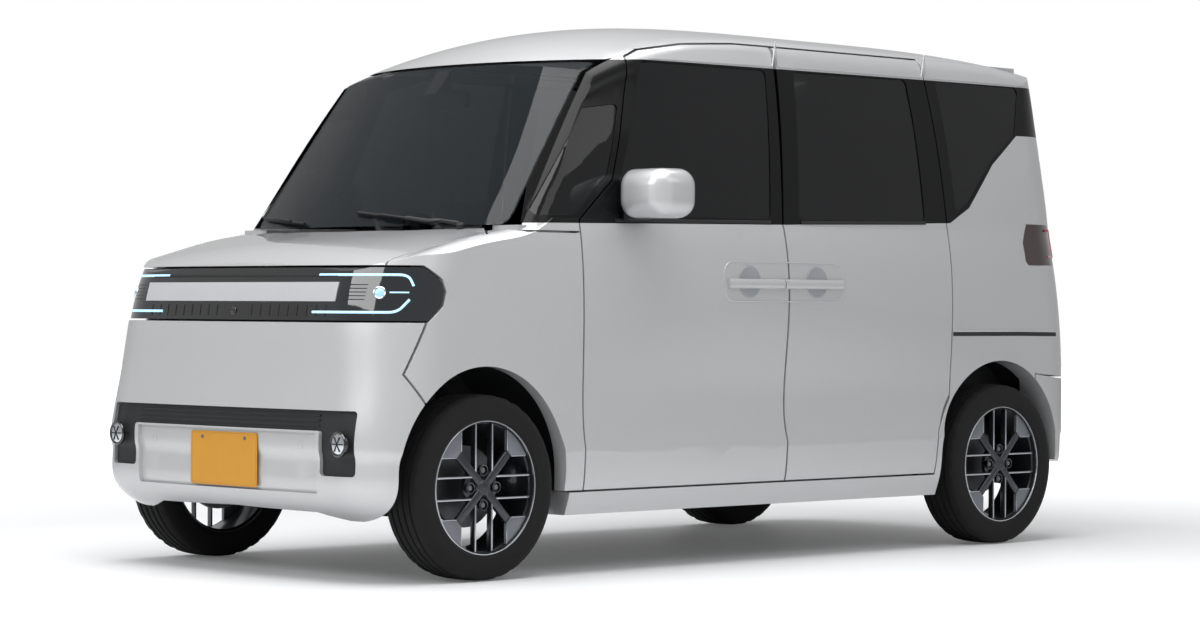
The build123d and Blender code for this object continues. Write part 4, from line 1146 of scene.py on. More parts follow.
@dataclass
class Tyre:
    """A 165/55R15 road tyre: crowned tread with grooves, square shoulders, a rim guard."""

    radius: float = 0.2812
    bead_radius: float = 0.196
    groove_depth: float = 0.0065
    blocks: int = 64
    grooves: tuple[float, ...] = (-0.042, -0.014, 0.014, 0.042)
    groove_half: float = 0.0042
    sipe_band: Point2 = (0.0465, 0.0745)
    sipe_ridge: float = 0.0045
    sipe_depth: float = 0.0042

    def profile(self) -> list[Point2]:
        """Works out the tyre's closed section.

        Returns:
            (outwards, radius) points.
        """
        tread: list[Point2] = []
        for groove in self.grooves:
            crown = self.radius - 0.0018 * (groove / 0.06) ** 2
            tread += [
                (groove - self.groove_half, crown),
                (groove - self.groove_half * 0.6, crown - self.groove_depth),
                (groove + self.groove_half * 0.6, crown - self.groove_depth),
                (groove + self.groove_half, crown),
            ]
        wall = [
            (0.0665, self.radius - 0.0030), (0.0735, self.radius - 0.0085), (0.0780, self.radius - 0.0190),
            (0.0800, self.radius - 0.0240), (0.0808, self.radius - 0.0300), (0.0815, self.radius - 0.0400),
            (0.0812, self.radius - 0.0520), (0.0800, self.radius - 0.0600), (0.0806, self.radius - 0.0650),
            (0.0795, self.radius - 0.0700), (0.0755, self.radius - 0.0762), (0.0700, self.bead_radius),
        ]
        inner = [(0.0600, self.bead_radius), (0.0620, self.radius - 0.0600), (0.0600, self.radius - 0.0250),
                 (0.0500, self.radius - 0.0160)]
        left = [(-a, b) for a, b in reversed(wall)]
        inside = inner + [(-a, b) for a, b in reversed(inner)]
        return left + tread + wall + inside

    def build(self, wheel: WheelPlace) -> None:
        """Makes one tyre and lets it stand for its CAD node.

        Args:
            wheel: the place that it is for.
        """
        shape = bmesh.new()
        turned_ring(shape, self.profile(), wheel.middle(), wheel.side.value, steps=self.blocks * 2)
        self.cut_sipes(shape, wheel)
        made = finished_piece(
            f"road_tyre_{wheel.tag}", shape, TYRE_RUBBER, wheel.body, crease=40)
        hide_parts(f"tyre_{wheel.tag}")

    def cut_sipes(self, shape: bmesh.types.BMesh, wheel: WheelPlace) -> None:
        """Sinks every fourth step of the shoulder ribs, which leaves cross grooves between blocks.

        Args:
            shape: the tyre's mesh.
            wheel: the place that it is for.
        """
        middle = wheel.middle()
        pitch = 2 * math.pi / (self.blocks * 2)
        for vert in shape.verts:
            off = vert.co - middle
            reach = math.hypot(off.y, off.z)
            across = abs(off.x)
            if reach < self.radius - self.sipe_ridge or not self.sipe_band[0] < across < self.sipe_band[1]:
                continue
            number = round(math.atan2(off.y, off.z) / pitch)
            if number % 4 == 0:
                shrink = (reach - self.sipe_depth) / reach
                vert.co = Vector((vert.co.x, middle.y + off.y * shrink, middle.z + off.z * shrink))


@dataclass
class AlloyFace:
    """The wheel's face: a cross of arms to four corner panels, with paired bars between them."""

    rim_radius: float = 0.2035
    lip: float = 0.0050
    face: float = 0.0655
    arm_width: float = 0.0270
    bar_width: float = 0.0065
    bar_apart: float = 0.0335
    panel_edge: float = 0.0920
    panel_corner: float = 0.0190

    def build(self, wheel: WheelPlace) -> None:
        """Makes the ring, the arms, the bars, the panels and the hub of one wheel.

        Args:
            wheel: the place that they are for.
        """
        way = wheel.side.value
        middle = wheel.middle()
        lip = bmesh.new()
        out = self.face + 0.0085
        turned_ring(
            lip,
            [(out, self.rim_radius + 0.0005), (out + 0.0015, self.rim_radius - 0.0012),
             (out + 0.0015, self.rim_radius - self.lip + 0.001), (out - 0.001, self.rim_radius - self.lip),
             (out - 0.024, self.rim_radius - self.lip - 0.0035), (out - 0.024, self.rim_radius - 0.004)],
            middle, way)
        finished_piece(f"rim_lip_{wheel.tag}", lip, TURNED_ALLOY, wheel.body)
        barrel = bmesh.new()
        turned_ring(
            barrel,
            [(0.0540, 0.1965), (-0.0600, 0.1965), (-0.0700, 0.2010), (-0.0725, 0.2010), (-0.0725, 0.1985),
             (-0.0640, 0.1900), (-0.0300, 0.1850), (0.0100, 0.1850), (0.0400, 0.1905), (0.0540, 0.1925)],
            middle, way)
        drum = finished_piece(f"rim_barrel_{wheel.tag}", barrel, GUNMETAL, wheel.body)
        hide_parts(f"rim_{wheel.tag}")
        dark, bright, panels = bmesh.new(), bmesh.new(), bmesh.new()
        for quarter in range(4):
            diagonal = Matrix.Rotation(math.radians(45 + 90 * quarter), 3, "X")
            straight = Matrix.Rotation(math.radians(90 * quarter), 3, "X")
            self.arm(dark, middle, way, diagonal)
            self.corner(panels, bright, middle, way, straight)
            for edge in (-1, 1):
                self.bar(dark, bright, middle, way, straight, edge * self.bar_apart)
        self.hub(dark, middle, way)
        finished_piece(f"spokes_{wheel.tag}", dark, GUNMETAL, wheel.body)
        finished_piece(f"spoke_edges_{wheel.tag}", bright, TURNED_ALLOY, wheel.body)
        finished_piece(f"corner_panels_{wheel.tag}", panels, PANEL_GREY, wheel.body)
        self.fittings(wheel)

    def place(self, middle: Vector, way: int, turn: Matrix, out: float, across: float, up: float) -> Vector:
        """Turns a spot on the wheel's face into the car's frame.

        Args:
            middle: the wheel's middle.
            way: one on the left and minus one on the right.
            turn: the turn about the axle.
            out: distance out along the axle.
            across: distance across the turned spoke.
            up: distance along it.

        Returns:
            The spot.
        """
        return middle + turn @ Vector((way * out, across, up))

    def arm(self, shape: bmesh.types.BMesh, middle: Vector, way: int, turn: Matrix) -> None:
        """Adds one diagonal arm, from the hub out to its corner panel.

        Args:
            shape: the mesh that gets the arm.
            middle: the wheel's middle.
            way: one on the left and minus one on the right.
            turn: the arm's turn about the axle.
        """
        length = self.panel_edge * math.sqrt(2) + 0.012
        spot = self.place(middle, way, turn, self.face - 0.0085, 0, length / 2)
        for vert in rounded_block(shape, spot, (0.017, self.arm_width, length), 0.0045, turn):
            off = vert.co - middle
            flare = max(0.0, 1 - math.hypot(off.y, off.z) / 0.060)
            vert.co.x += way * 0.004 * flare

    def corner(
        self, panels: bmesh.types.BMesh, bright: bmesh.types.BMesh, middle: Vector, way: int, turn: Matrix
    ) -> None:
        """Adds one corner panel, which fills the ring beyond two straight edges, and its turned edges.

        Args:
            panels: the mesh that gets the panel.
            bright: the mesh that gets the edges.
            middle: the wheel's middle.
            way: one on the left and minus one on the right.
            turn: the quarter's turn about the axle.
        """
        reach = self.rim_radius - self.lip - 0.0005
        low = self.panel_edge
        start, end = math.asin(low / reach), math.acos(low / reach)
        steps = 14
        angles = [start + (end - start) * i / steps for i in range(steps + 1)]
        arc = [(reach * math.sin(angle), reach * math.cos(angle)) for angle in angles]
        outline = [(low, low + self.panel_corner)] + arc + [(low + self.panel_corner, low)]
        part = bmesh.new()
        top = [part.verts.new(self.place(middle, way, turn, self.face + 0.0015, y, z)) for y, z in outline]
        deep = [part.verts.new(self.place(middle, way, turn, self.face - 0.010, y, z)) for y, z in outline]
        count = len(outline)
        upper = part.faces.new(top)
        part.faces.new(list(reversed(deep)))
        for i in range(count):
            part.faces.new((top[i], deep[i], deep[(i + 1) % count], top[(i + 1) % count]))
        bmesh.ops.recalc_face_normals(part, faces=part.faces)
        bmesh.ops.bevel(
            part, geom=list(upper.edges), offset=0.0016, segments=2, profile=0.5, affect="EDGES", material=-1)
        absorb(panels, part)
        length = arc[0][1] - low - self.panel_corner
        up = low + self.panel_corner + length / 2
        spot = self.place(middle, way, turn, self.face + 0.0005, low + 0.0006, up)
        rounded_block(bright, spot, (0.0035, 0.0030, length), 0.001, turn, 2)
        spot = self.place(middle, way, turn, self.face + 0.0005, up, low + 0.0006)
        rounded_block(bright, spot, (0.0035, length, 0.0030), 0.001, turn, 2)

    def bar(
        self, dark: bmesh.types.BMesh, bright: bmesh.types.BMesh, middle: Vector, way: int, turn: Matrix,
        across: float,
    ) -> None:
        """Adds one thin straight bar with a turned bright face.

        Args:
            dark: the mesh that gets the bar.
            bright: the mesh that gets its face.
            middle: the wheel's middle.
            way: one on the left and minus one on the right.
            turn: the quarter's turn about the axle.
            across: the bar's distance from the quarter's middle line.
        """
        start, end = 0.046, math.sqrt((self.rim_radius - self.lip) ** 2 - across**2) - 0.0005
        length = end - start
        spot = self.place(middle, way, turn, self.face - 0.0115, across, start + length / 2)
        rounded_block(dark, spot, (0.020, self.bar_width, length), 0.002, turn)
        top = self.place(middle, way, turn, self.face - 0.0010, across, start + length / 2)
        rounded_block(bright, top, (0.003, self.bar_width * 0.86, length), 0.001, turn, 2)

    def hub(self, shape: bmesh.types.BMesh, middle: Vector, way: int) -> None:
        """Adds the centre disc that carries the arms, and the small blank cap.

        Args:
            shape: the mesh that gets the disc.
            middle: the wheel's middle.
            way: one on the left and minus one on the right.
        """
        turned_ring(
            shape,
            [(self.face - 0.030, 0.0), (self.face - 0.030, 0.066), (self.face - 0.016, 0.066),
             (self.face - 0.013, 0.060), (self.face - 0.012, 0.034), (self.face + 0.001, 0.024),
             (self.face + 0.0045, 0.0215), (self.face + 0.0050, 0.018), (self.face + 0.0040, 0.0165),
             (self.face + 0.0045, 0.0)],
            middle, way, 64)

    def fittings(self, wheel: WheelPlace) -> None:
        """Makes the lug nuts in their wells.

        Args:
            wheel: the place that they are for.
        """
        way, middle = wheel.side.value, wheel.middle()
        wells, nuts = bmesh.new(), bmesh.new()
        for quarter in range(4):
            turn = Matrix.Rotation(math.radians(90 * quarter), 3, "X")
            spot = self.place(middle, way, turn, 0, 0, 0.0525)
            turned_ring(
                wells, [(self.face - 0.020, 0.0), (self.face - 0.020, 0.0155), (self.face - 0.0005, 0.0170),
                        (self.face - 0.0015, 0.0140), (self.face - 0.014, 0.0125), (self.face - 0.014, 0.0)],
                spot, way, 32)
            turned_ring(
                nuts, [(self.face - 0.015, 0.0), (self.face - 0.015, 0.0095), (self.face - 0.0045, 0.0095),
                       (self.face - 0.0020, 0.0068), (self.face - 0.0015, 0.0)],
                spot, way, 6)
        finished_piece(f"lug_wells_{wheel.tag}", wells, GLOSS_BLACK, wheel.body)
        finished_piece(f"lug_nuts_{wheel.tag}", nuts, CAST_ALLOY, wheel.body)


# Front end --------------------------------------------------------------------


@dataclass
class FrontEnd:
    """Lamps, light guides, grille strips, lower recess and fog lamps of the nose."""

    guide_top: float = 0.9195
    guide_bottom: float = 0.8080
    guide_inner: float = 0.372
    guide_outer: float = 0.652
    guide_width: float = 0.0078
    guide_height: float = 0.0030
    guide_turn: float = 0.026
    lens_x: float = 0.604
    lens_z: float = 0.866

    def build(self) -> None:
        """Makes every piece of the nose."""
        self.light_guides()
        self.lenses()
        self.strips()
        self.lower_grille()
        self.fog_lamps()
        self.plate()
        log.info("front end made")

    def light_guides(self) -> None:
        """Makes the C-shaped lit guide of each lamp, and the thin line beside the lens."""
        shape = bmesh.new()
        for side in SIDES:
            way = side.value
            loop = [
                (way * self.guide_inner, self.guide_top), (way * self.guide_outer, self.guide_top),
                (way * (self.guide_outer + 0.014), self.lens_z + 0.020),
            ]
            Ribbon(
                loop, self.guide_width, self.guide_height, Facing.FRONT, side, radius=self.guide_turn
            ).lay(shape)
            low = [
                (way * self.guide_inner, self.guide_bottom), (way * self.guide_outer, self.guide_bottom),
                (way * (self.guide_outer + 0.014), self.lens_z - 0.020),
            ]
            Ribbon(
                low, self.guide_width, self.guide_height, Facing.FRONT, side, radius=self.guide_turn
            ).lay(shape)
            line = [(way * (self.lens_x + 0.022), self.lens_z + 0.001), (way * 0.662, self.lens_z + 0.001)]
            Ribbon(line, 0.0042, 0.0026, Facing.FRONT, side).lay(shape)
        finished_piece("light_guides", shape, LIGHT_GUIDE, "body")

    def lenses(self) -> None:
        """Makes the projector lens, its ring and the ribs of the bezel of each lamp."""
        lens, ring, bezel = bmesh.new(), bmesh.new(), bmesh.new()
        for side in SIDES:
            way = side.value
            hit, normal = SHELL_SKIN.cast((way * self.lens_x, self.lens_z), Facing.FRONT)
            for mesh, profile in (
                (lens, [(-0.004, 0.0), (-0.004, 0.0150), (0.0010, 0.0150), (0.0042, 0.0110), (0.0060, 0.0055),
                        (0.0066, 0.0)]),
                (ring, [(-0.004, 0.0152), (0.0022, 0.0152), (0.0030, 0.0172), (0.0022, 0.0192),
                        (-0.004, 0.0200)]),
            ):
                lathe_on(mesh, profile, hit, normal, 40)
            for k in range(5):
                rib = [(way * 0.506, 0.8900 - 0.011 * k), (way * 0.568, 0.8900 - 0.011 * k)]
                Ribbon(rib, 0.0030, 0.0016, Facing.FRONT, side).lay(bezel)
        finished_piece("projector_lenses", lens, LENS_GLASS, "body")
        finished_piece("projector_rings", ring, REFLECTOR, "body")
        finished_piece("lamp_bezels", bezel, DARK_BEZEL, "body")

    def strips(self) -> None:
        """Makes the upper strip's ledge, the lower strip's ribs and the camera."""
        ribs, camera = bmesh.new(), bmesh.new()
        Ribbon([(-0.455, 0.918), (0.455, 0.918)], 0.010, 0.0022, Facing.FRONT).lay(ribs)
        for i in range(-10, 11):
            if i in (-1, 0, 1):
                continue
            x = i * 0.043
            Ribbon([(x, 0.795), (x, 0.829)], 0.0042, 0.0022, Facing.FRONT).lay(ribs)
        finished_piece("grille_ribs", ribs, GRAINED_BLACK, "body")
        hit, normal = SHELL_SKIN.cast((0.0, 0.812), Facing.FRONT)
        lathe_on(camera, [(-0.004, 0.0), (-0.004, 0.013), (0.003, 0.013), (0.0045, 0.011), (0.0045, 0.008),
                          (0.003, 0.0065), (0.0038, 0.0)], hit, normal, 32)
        finished_piece("front_camera", camera, GLOSS_BLACK, "body")

    def lower_grille(self) -> None:
        """Makes the lower grille's slats and the two parking sensors."""
        slats = bmesh.new()
        for z in (0.470, 0.485, 0.500):
            Ribbon([(-0.445, z), (0.445, z)], 0.0060, 0.0040, Facing.FRONT).lay(slats)
        finished_piece("lower_slats", slats, GRAINED_BLACK, "body")
        sensors = bmesh.new()
        for x in (-0.362, 0.362):
            hit, normal = SHELL_SKIN.cast((x, 0.408), Facing.FRONT)
            lathe_on(
                sensors, [(-0.003, 0.0), (-0.003, 0.0095), (0.0012, 0.0095), (0.0018, 0.008), (0.0018, 0.0)],
                hit, normal, 24)
        finished_piece("parking_sensors", sensors, PearlSmall(), "body")

    def fog_lamps(self) -> None:
        """Makes the two fog lamp faces: a cross-ribbed round lens in a dished dark ring."""
        lens, ring, ribs = bmesh.new(), bmesh.new(), bmesh.new()
        for side in SIDES:
            hit, normal = SHELL_SKIN.cast((side.value * 0.550, 0.418), Facing.FRONT)
            lathe_on(
                lens,
                [(-0.004, 0.0), (-0.004, 0.0300), (0.0020, 0.0300), (0.0044, 0.022), (0.0056, 0.010),
                 (0.0060, 0.0)],
                hit, normal, 40)
            lathe_on(
                ring,
                [(-0.004, 0.0302), (0.0036, 0.0302), (0.0050, 0.0340), (0.0020, 0.0385), (-0.004, 0.0390)],
                hit, normal, 40)
            base = normal.to_track_quat("Z", "Y").to_matrix()
            for angle in (0, 60, 120):
                turn = base @ Matrix.Rotation(math.radians(angle), 3, "Z")
                rounded_block(ribs, hit + normal * 0.0058, (0.050, 0.0036, 0.0030), 0.0010, turn, 2)
        finished_piece("fog_lenses", lens, REFLECTOR, "body")
        finished_piece("fog_rings", ring, GLOSS_BLACK, "body")
        finished_piece("fog_ribs", ribs, DARK_BEZEL, "body")

    def plate(self) -> None:
        """Makes the pressed rim and the two bolts of the blank front plate."""
        low, high = (Vector(c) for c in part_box("number_plate_front"))
        face = low.y
        rim = bmesh.new()
        inset = 0.006
        line = rounded(
            [(low.x + inset, low.z + inset), (high.x - inset, low.z + inset),
             (high.x - inset, high.z - inset), (low.x + inset, high.z - inset)], 0.008)
        path = [Vector((p.x, face, p.y)) for p in line]
        swept(rim, path, [Vector((0, -1, 0))] * len(path), lens_section(0.0035, 0.0012), True)
        finished_piece("plate_rim", rim, PLATE_SHEET, "body")
        bolts = bmesh.new()
        for x in (-0.105, 0.105):
            lathe_on(
                bolts, [(-0.002, 0.0), (-0.002, 0.0058), (0.0022, 0.0058), (0.0034, 0.0045), (0.0034, 0.0)],
                Vector((x, face, high.z - 0.018)), Vector((0, -1, 0)), 6)
        finished_piece("plate_bolts", bolts, CAST_ALLOY, "body")


def lathe_on(
    shape: bmesh.types.BMesh, profile: Sequence[Point2], middle: Vector, axis: Vector, steps: int
) -> None:
    """Turns a closed (height, radius) profile round an axis that stands on a surface.

    Args:
        shape: the mesh that gets the turned form.
        profile: points from the axis out and back to it.
        middle: where the axis meets the surface.
        axis: the axis's direction.
        steps: steps round the turn.
    """
    part = bmesh.new()
    verts = [part.verts.new((radius, 0, height)) for height, radius in profile]
    edges = [part.edges.new((a, b)) for a, b in zip(verts, verts[1:])]
    if profile[0][1] > 0 and profile[-1][1] > 0:
        edges.append(part.edges.new((verts[-1], verts[0])))
    bmesh.ops.spin(
        part, geom=verts + edges, cent=(0, 0, 0), axis=(0, 0, 1), angle=2 * math.pi, steps=steps,
        use_merge=True, use_duplicate=False)
    bmesh.ops.remove_doubles(part, verts=part.verts, dist=0.01 * MM)
    turn = axis.to_track_quat("Z", "Y").to_matrix()
    bmesh.ops.rotate(part, matrix=turn, verts=part.verts)
    bmesh.ops.translate(part, vec=middle, verts=part.verts)
    absorb(shape, part)


# Flanks -----------------------------------------------------------------------


@dataclass
class Flanks:
    """Door handles, rail slot, mouldings and arch lips of both sides."""

    recess_start: float = -0.236
    recess_end: float = 0.344
    recess_z: float = 0.913
    recess_half: float = 0.064
    split: float = 0.041
    bar_z: float = 0.906
    bar_half: float = 0.0165
    scoops: tuple[float, float] = (-0.119, 0.205)
    rail: tuple[Point2, ...] = ((0.925, 0.741), (1.30, 0.741), (1.521, 0.739))
    pillar_line: tuple[Point2, ...] = ((0.619, 1.080), (0.594, 1.330), (0.5655, 1.598))
    door_gap: float = 0.003
    arch_lip: float = 0.332
    arch_rise: float = 0.012
    arch_foot: float = 0.262

    def build(self) -> None:
        """Makes the pieces of both flanks."""
        for side in SIDES:
            name = "left" if side is Side.LEFT else "right"
            self.handles(side, name)
            self.rail_slot(side, name)
            self.mouldings(side, name)
            self.arch_lips(side, name)
        log.info("flanks made")

    def handles(self, side: Side, name: str) -> None:
        """Makes the recess rim, the scoops as low discs in painted shade grey, and the grip bars of the two
        doors of one side.

        Args:
            side: which flank.
            name: the flank's word in names.
        """
        for tag, body, start, end, scoop in (
            ("front", f"door_{name}", self.recess_start, self.split - self.door_gap, self.scoops[0]),
            ("slider", "body", self.split + self.door_gap, self.recess_end, self.scoops[1]),
        ):
            rim, painted_shade_disc, bar = bmesh.new(), bmesh.new(), bmesh.new()
            top, low = self.recess_z + self.recess_half, self.recess_z - self.recess_half
            far, near = (start, end) if tag == "front" else (end, start)
            line = [(near, top), (far, top), (far, low), (near, low)]
            Ribbon(line, 0.0050, 0.0022, Facing.FLANK, side, radius=0.050).lay(rim)
            finished_piece(f"handle_rim_{tag}_{name}", rim, PearlSmall(), body)
            # painted shade: each scoop is a low disc on the door, coloured darker grey for the shadow in the
            # real hollow
            hit, normal = SHELL_SKIN.cast((scoop, self.recess_z), Facing.FLANK, side)
            lathe_on(
                painted_shade_disc,
                [(-0.004, 0.0), (-0.004, 0.052), (0.0022, 0.052), (0.0032, 0.049), (0.0020, 0.045),
                 (0.0008, 0.034), (0.0004, 0.016), (0.0003, 0.0)],
                hit, normal, 56)
            finished_piece(f"handle_scoop_{tag}_{name}", painted_shade_disc, SCOOP_PAINTED_SHADE, body)
            grip = [(far + (0.016 if tag == "front" else -0.016), self.bar_z), (near, self.bar_z)]
            Ribbon(grip, self.bar_half * 2, 0.0125, Facing.FLANK, side, lift=0.0020).lay(bar)
            finished_piece(f"handle_grip_{tag}_{name}", bar, PearlSmall(), body, crease=50)

    def rail_slot(self, side: Side, name: str) -> None:
        """Makes the black slot that the sliding door's middle arm runs in.

        Args:
            side: which flank.
            name: the flank's word in names.
        """
        slot, edge = bmesh.new(), bmesh.new()
        Ribbon(self.rail, 0.0140, 0.0018, Facing.FLANK, side).lay(slot)
        finished_piece(f"rail_slot_{name}", slot, GRAINED_BLACK, "body")
        upper = [(y, z + 0.011) for y, z in self.rail]
        Ribbon(upper, 0.0075, 0.0034, Facing.FLANK, side).lay(edge)
        finished_piece(f"rail_lip_{name}", edge, PearlSmall(), "body")

    def mouldings(self, side: Side, name: str) -> None:
        """Makes the bright line beside the windscreen, the belt seals and the drip moulding.

        Args:
            side: which flank.
            name: the flank's word in names.
        """
        bright = bmesh.new()
        line = [(side.value * x, z) for x, z in self.pillar_line]
        Ribbon(line, 0.0085, 0.0035, Facing.FRONT, side, radius=0.3).lay(bright)
        finished_piece(f"pillar_moulding_{name}", bright, BRIGHT_TRIM, "body")
        seal = bmesh.new()
        Ribbon([(-0.700, 1.0985), (0.012, 1.1085)], 0.012, 0.0035, Facing.FLANK, side).lay(seal)
        finished_piece(f"belt_seal_front_{name}", seal, GRAINED_BLACK, f"door_{name}")
        rear = bmesh.new()
        Ribbon([(0.160, 1.1100), (0.800, 1.1235)], 0.012, 0.0035, Facing.FLANK, side).lay(rear)
        finished_piece(f"belt_seal_slider_{name}", rear, GRAINED_BLACK, "body")
        drip = bmesh.new()
        Ribbon([(-0.47, 1.6235), (0.4, 1.6300), (1.45, 1.6330)], 0.006, 0.0026, Facing.FLANK, side).lay(drip)
        finished_piece(f"drip_moulding_{name}", drip, PearlSmall(), "body")

    def arch_lips(self, side: Side, name: str) -> None:
        """Makes the folded bright lip round the edge of each wheel arch.

        Args:
            side: which flank.
            name: the flank's word in names.
        """
        lips = bmesh.new()
        for tag in ("front", "rear"):
            middle = WheelPlace(f"{tag}_{name}", "", side).middle()
            line = []
            for i in range(49):
                angle = math.radians(-4 + 188 * i / 48)
                place = (middle.y - self.arch_lip * math.cos(angle),
                         middle.z + self.arch_rise + self.arch_lip * math.sin(angle))
                if place[1] > self.arch_foot:
                    line.append(place)
            Ribbon(line, 0.0075, 0.0030, Facing.FLANK, side, step=0.02).lay(lips)
        finished_piece(f"arch_lips_{name}", lips, PearlSmall(), "body")


# Wipers, mirrors and rear -----------------------------------------------------


@dataclass
class Wipers:
    """Two windscreen wipers, parked low, and one on the tailgate."""

    arms: tuple[tuple[Point2, Point2, Point2], ...] = (
        ((-0.100, 1.066), (-0.330, 1.092), (-0.580, 1.112)),
        ((0.475, 1.066), (0.255, 1.092), (0.015, 1.118)),
    )

    def build(self) -> None:
        """Makes the arms, blades and spindle caps."""
        arm, rubber = bmesh.new(), bmesh.new()
        for spindle, knee, tip in self.arms:
            hit, normal = SHELL_SKIN.cast(spindle, Facing.FRONT)
            lathe_on(arm, [(-0.006, 0.0), (-0.006, 0.013), (0.010, 0.013), (0.014, 0.010), (0.016, 0.0)],
                     hit + normal * 0.004, normal, 28)
            Ribbon([spindle, knee], 0.015, 0.009, Facing.FRONT, lift=0.014).lay(arm)
            Ribbon(
                [knee, ((knee[0] + tip[0]) / 2, (knee[1] + tip[1]) / 2)], 0.009, 0.007, Facing.FRONT,
                lift=0.014
            ).lay(arm)
            back = (2 * knee[0] - tip[0]) * 0.35 + knee[0] * 0.65
            Ribbon([(back, knee[1] - 0.006), tip], 0.011, 0.010, Facing.FRONT, lift=0.004).lay(rubber)
        finished_piece("wiper_arms", arm, GRAINED_BLACK, "body")
        finished_piece("wiper_blades", rubber, GRAINED_BLACK, "body")
        rear = bmesh.new()
        hit, normal = SHELL_SKIN.cast((0.0, 1.128), Facing.REAR)
        lathe_on(rear, [(-0.004, 0.0), (-0.004, 0.017), (0.010, 0.017), (0.014, 0.012), (0.015, 0.0)],
                 hit, normal, 28)
        Ribbon([(0.0, 1.128), (0.300, 1.158)], 0.013, 0.008, Facing.REAR, lift=0.009).lay(rear)
        finished_piece("rear_wiper", rear, GRAINED_BLACK, "tailgate")


@dataclass
class Mirrors:
    """Door mirrors: a rounded painted shell, its black foot on the belt and silvered glass."""

    middle: Point3 = (0.8060, -0.6250, 1.1830)
    size: Point3 = (0.2260, 0.1850, 0.1560)
    round_off: float = 0.0560
    glass: Point3 = (0.132, 0.006, 0.098)
    foot_height: float = 0.030
    foot: tuple[Point3, ...] = ((0.700, -0.665, 1.098), (0.700, -0.560, 1.100), (0.800, -0.590, 1.112),
                                (0.800, -0.640, 1.112))

    def build(self) -> None:
        """Makes the shell, the foot and the glass of each side."""
        for side in SIDES:
            name = "left" if side is Side.LEFT else "right"
            way = side.value
            middle = Vector((way * self.middle[0], self.middle[1], self.middle[2]))
            shell = bmesh.new()
            verts = rounded_block(shell, middle, self.size, self.round_off, None, 8)
            for vert in verts:
                off = vert.co - middle
                ahead = max(0.0, -off.y / (self.size[1] / 2))
                vert.co.x = middle.x + off.x * (1 - 0.10 * ahead * ahead)
                vert.co.z = middle.z + off.z * (1 - 0.12 * ahead * ahead)
                vert.co.y += 0.018 * (way * off.x / (self.size[0] / 2)) ** 2 * ahead
            body = f"door_{name}"
            cap = finished_piece(f"mirror_shell_{name}", shell, PearlSmall(), body)
            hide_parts(f"door_mirror_{name}")
            foot = bmesh.new()
            low = [foot.verts.new((way * x, y, z)) for x, y, z in self.foot]
            high = [foot.verts.new((way * x, y * 0.999, z + self.foot_height)) for x, y, z in self.foot]
            foot.faces.new(low)
            foot.faces.new(list(reversed(high)))
            for i in range(4):
                foot.faces.new((low[i], low[(i + 1) % 4], high[(i + 1) % 4], high[i]))
            bmesh.ops.recalc_face_normals(foot, faces=foot.faces)
            bmesh.ops.bevel(
                foot, geom=foot.edges[:], offset=0.006, segments=3, profile=0.5, affect="EDGES", material=-1)
            base = finished_piece(f"mirror_foot_{name}", foot, GRAINED_BLACK, body)
            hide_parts(f"door_mirror_{name}")
            glass = bmesh.new()
            behind = (middle.x, middle.y + self.size[1] / 2, middle.z)
            rounded_block(glass, behind, self.glass, 0.0028, None, 2)
            finished_piece(f"mirror_glass_{name}", glass, MIRROR_GLASS, body)


@dataclass
class Rear:
    """Tail lamp guides, the rear reflectors and the tailgate's grip."""

    def build(self) -> None:
        """Makes the pieces of the tail."""
        guides = bmesh.new()
        for side in SIDES:
            way = side.value
            for z in (1.018, 1.112):
                Ribbon([(way * 0.595, z), (way * 0.690, z)], 0.008, 0.003, Facing.REAR).lay(guides)
            Ribbon([(1.560, 1.020), (1.566, 1.112)], 0.026, 0.0035, Facing.FLANK, side).lay(guides)
        finished_piece("tail_guides", guides, PINK_ACRYLIC, "body")
        reflectors = bmesh.new()
        for way in (-1, 1):
            Ribbon([(way * 0.470, 0.440), (way * 0.600, 0.440)], 0.030, 0.004, Facing.REAR).lay(reflectors)
        finished_piece("rear_reflectors", reflectors, RED_ACRYLIC, "body")
        grip = bmesh.new()
        Ribbon([(-0.235, 0.905), (0.235, 0.905)], 0.034, 0.012, Facing.REAR, radius=0.01).lay(grip)
        finished_piece("tailgate_grip", grip, GRAINED_BLACK, "tailgate", crease=50)


# Cabin ------------------------------------------------------------------------


@dataclass(frozen=True)
class PadBlock:
    """One block of a cushion before it swells, tilted back about the X axis by degrees."""

    middle: Point3
    size: Point3
    tilt: float = 0.0
    radius: float = 0.035


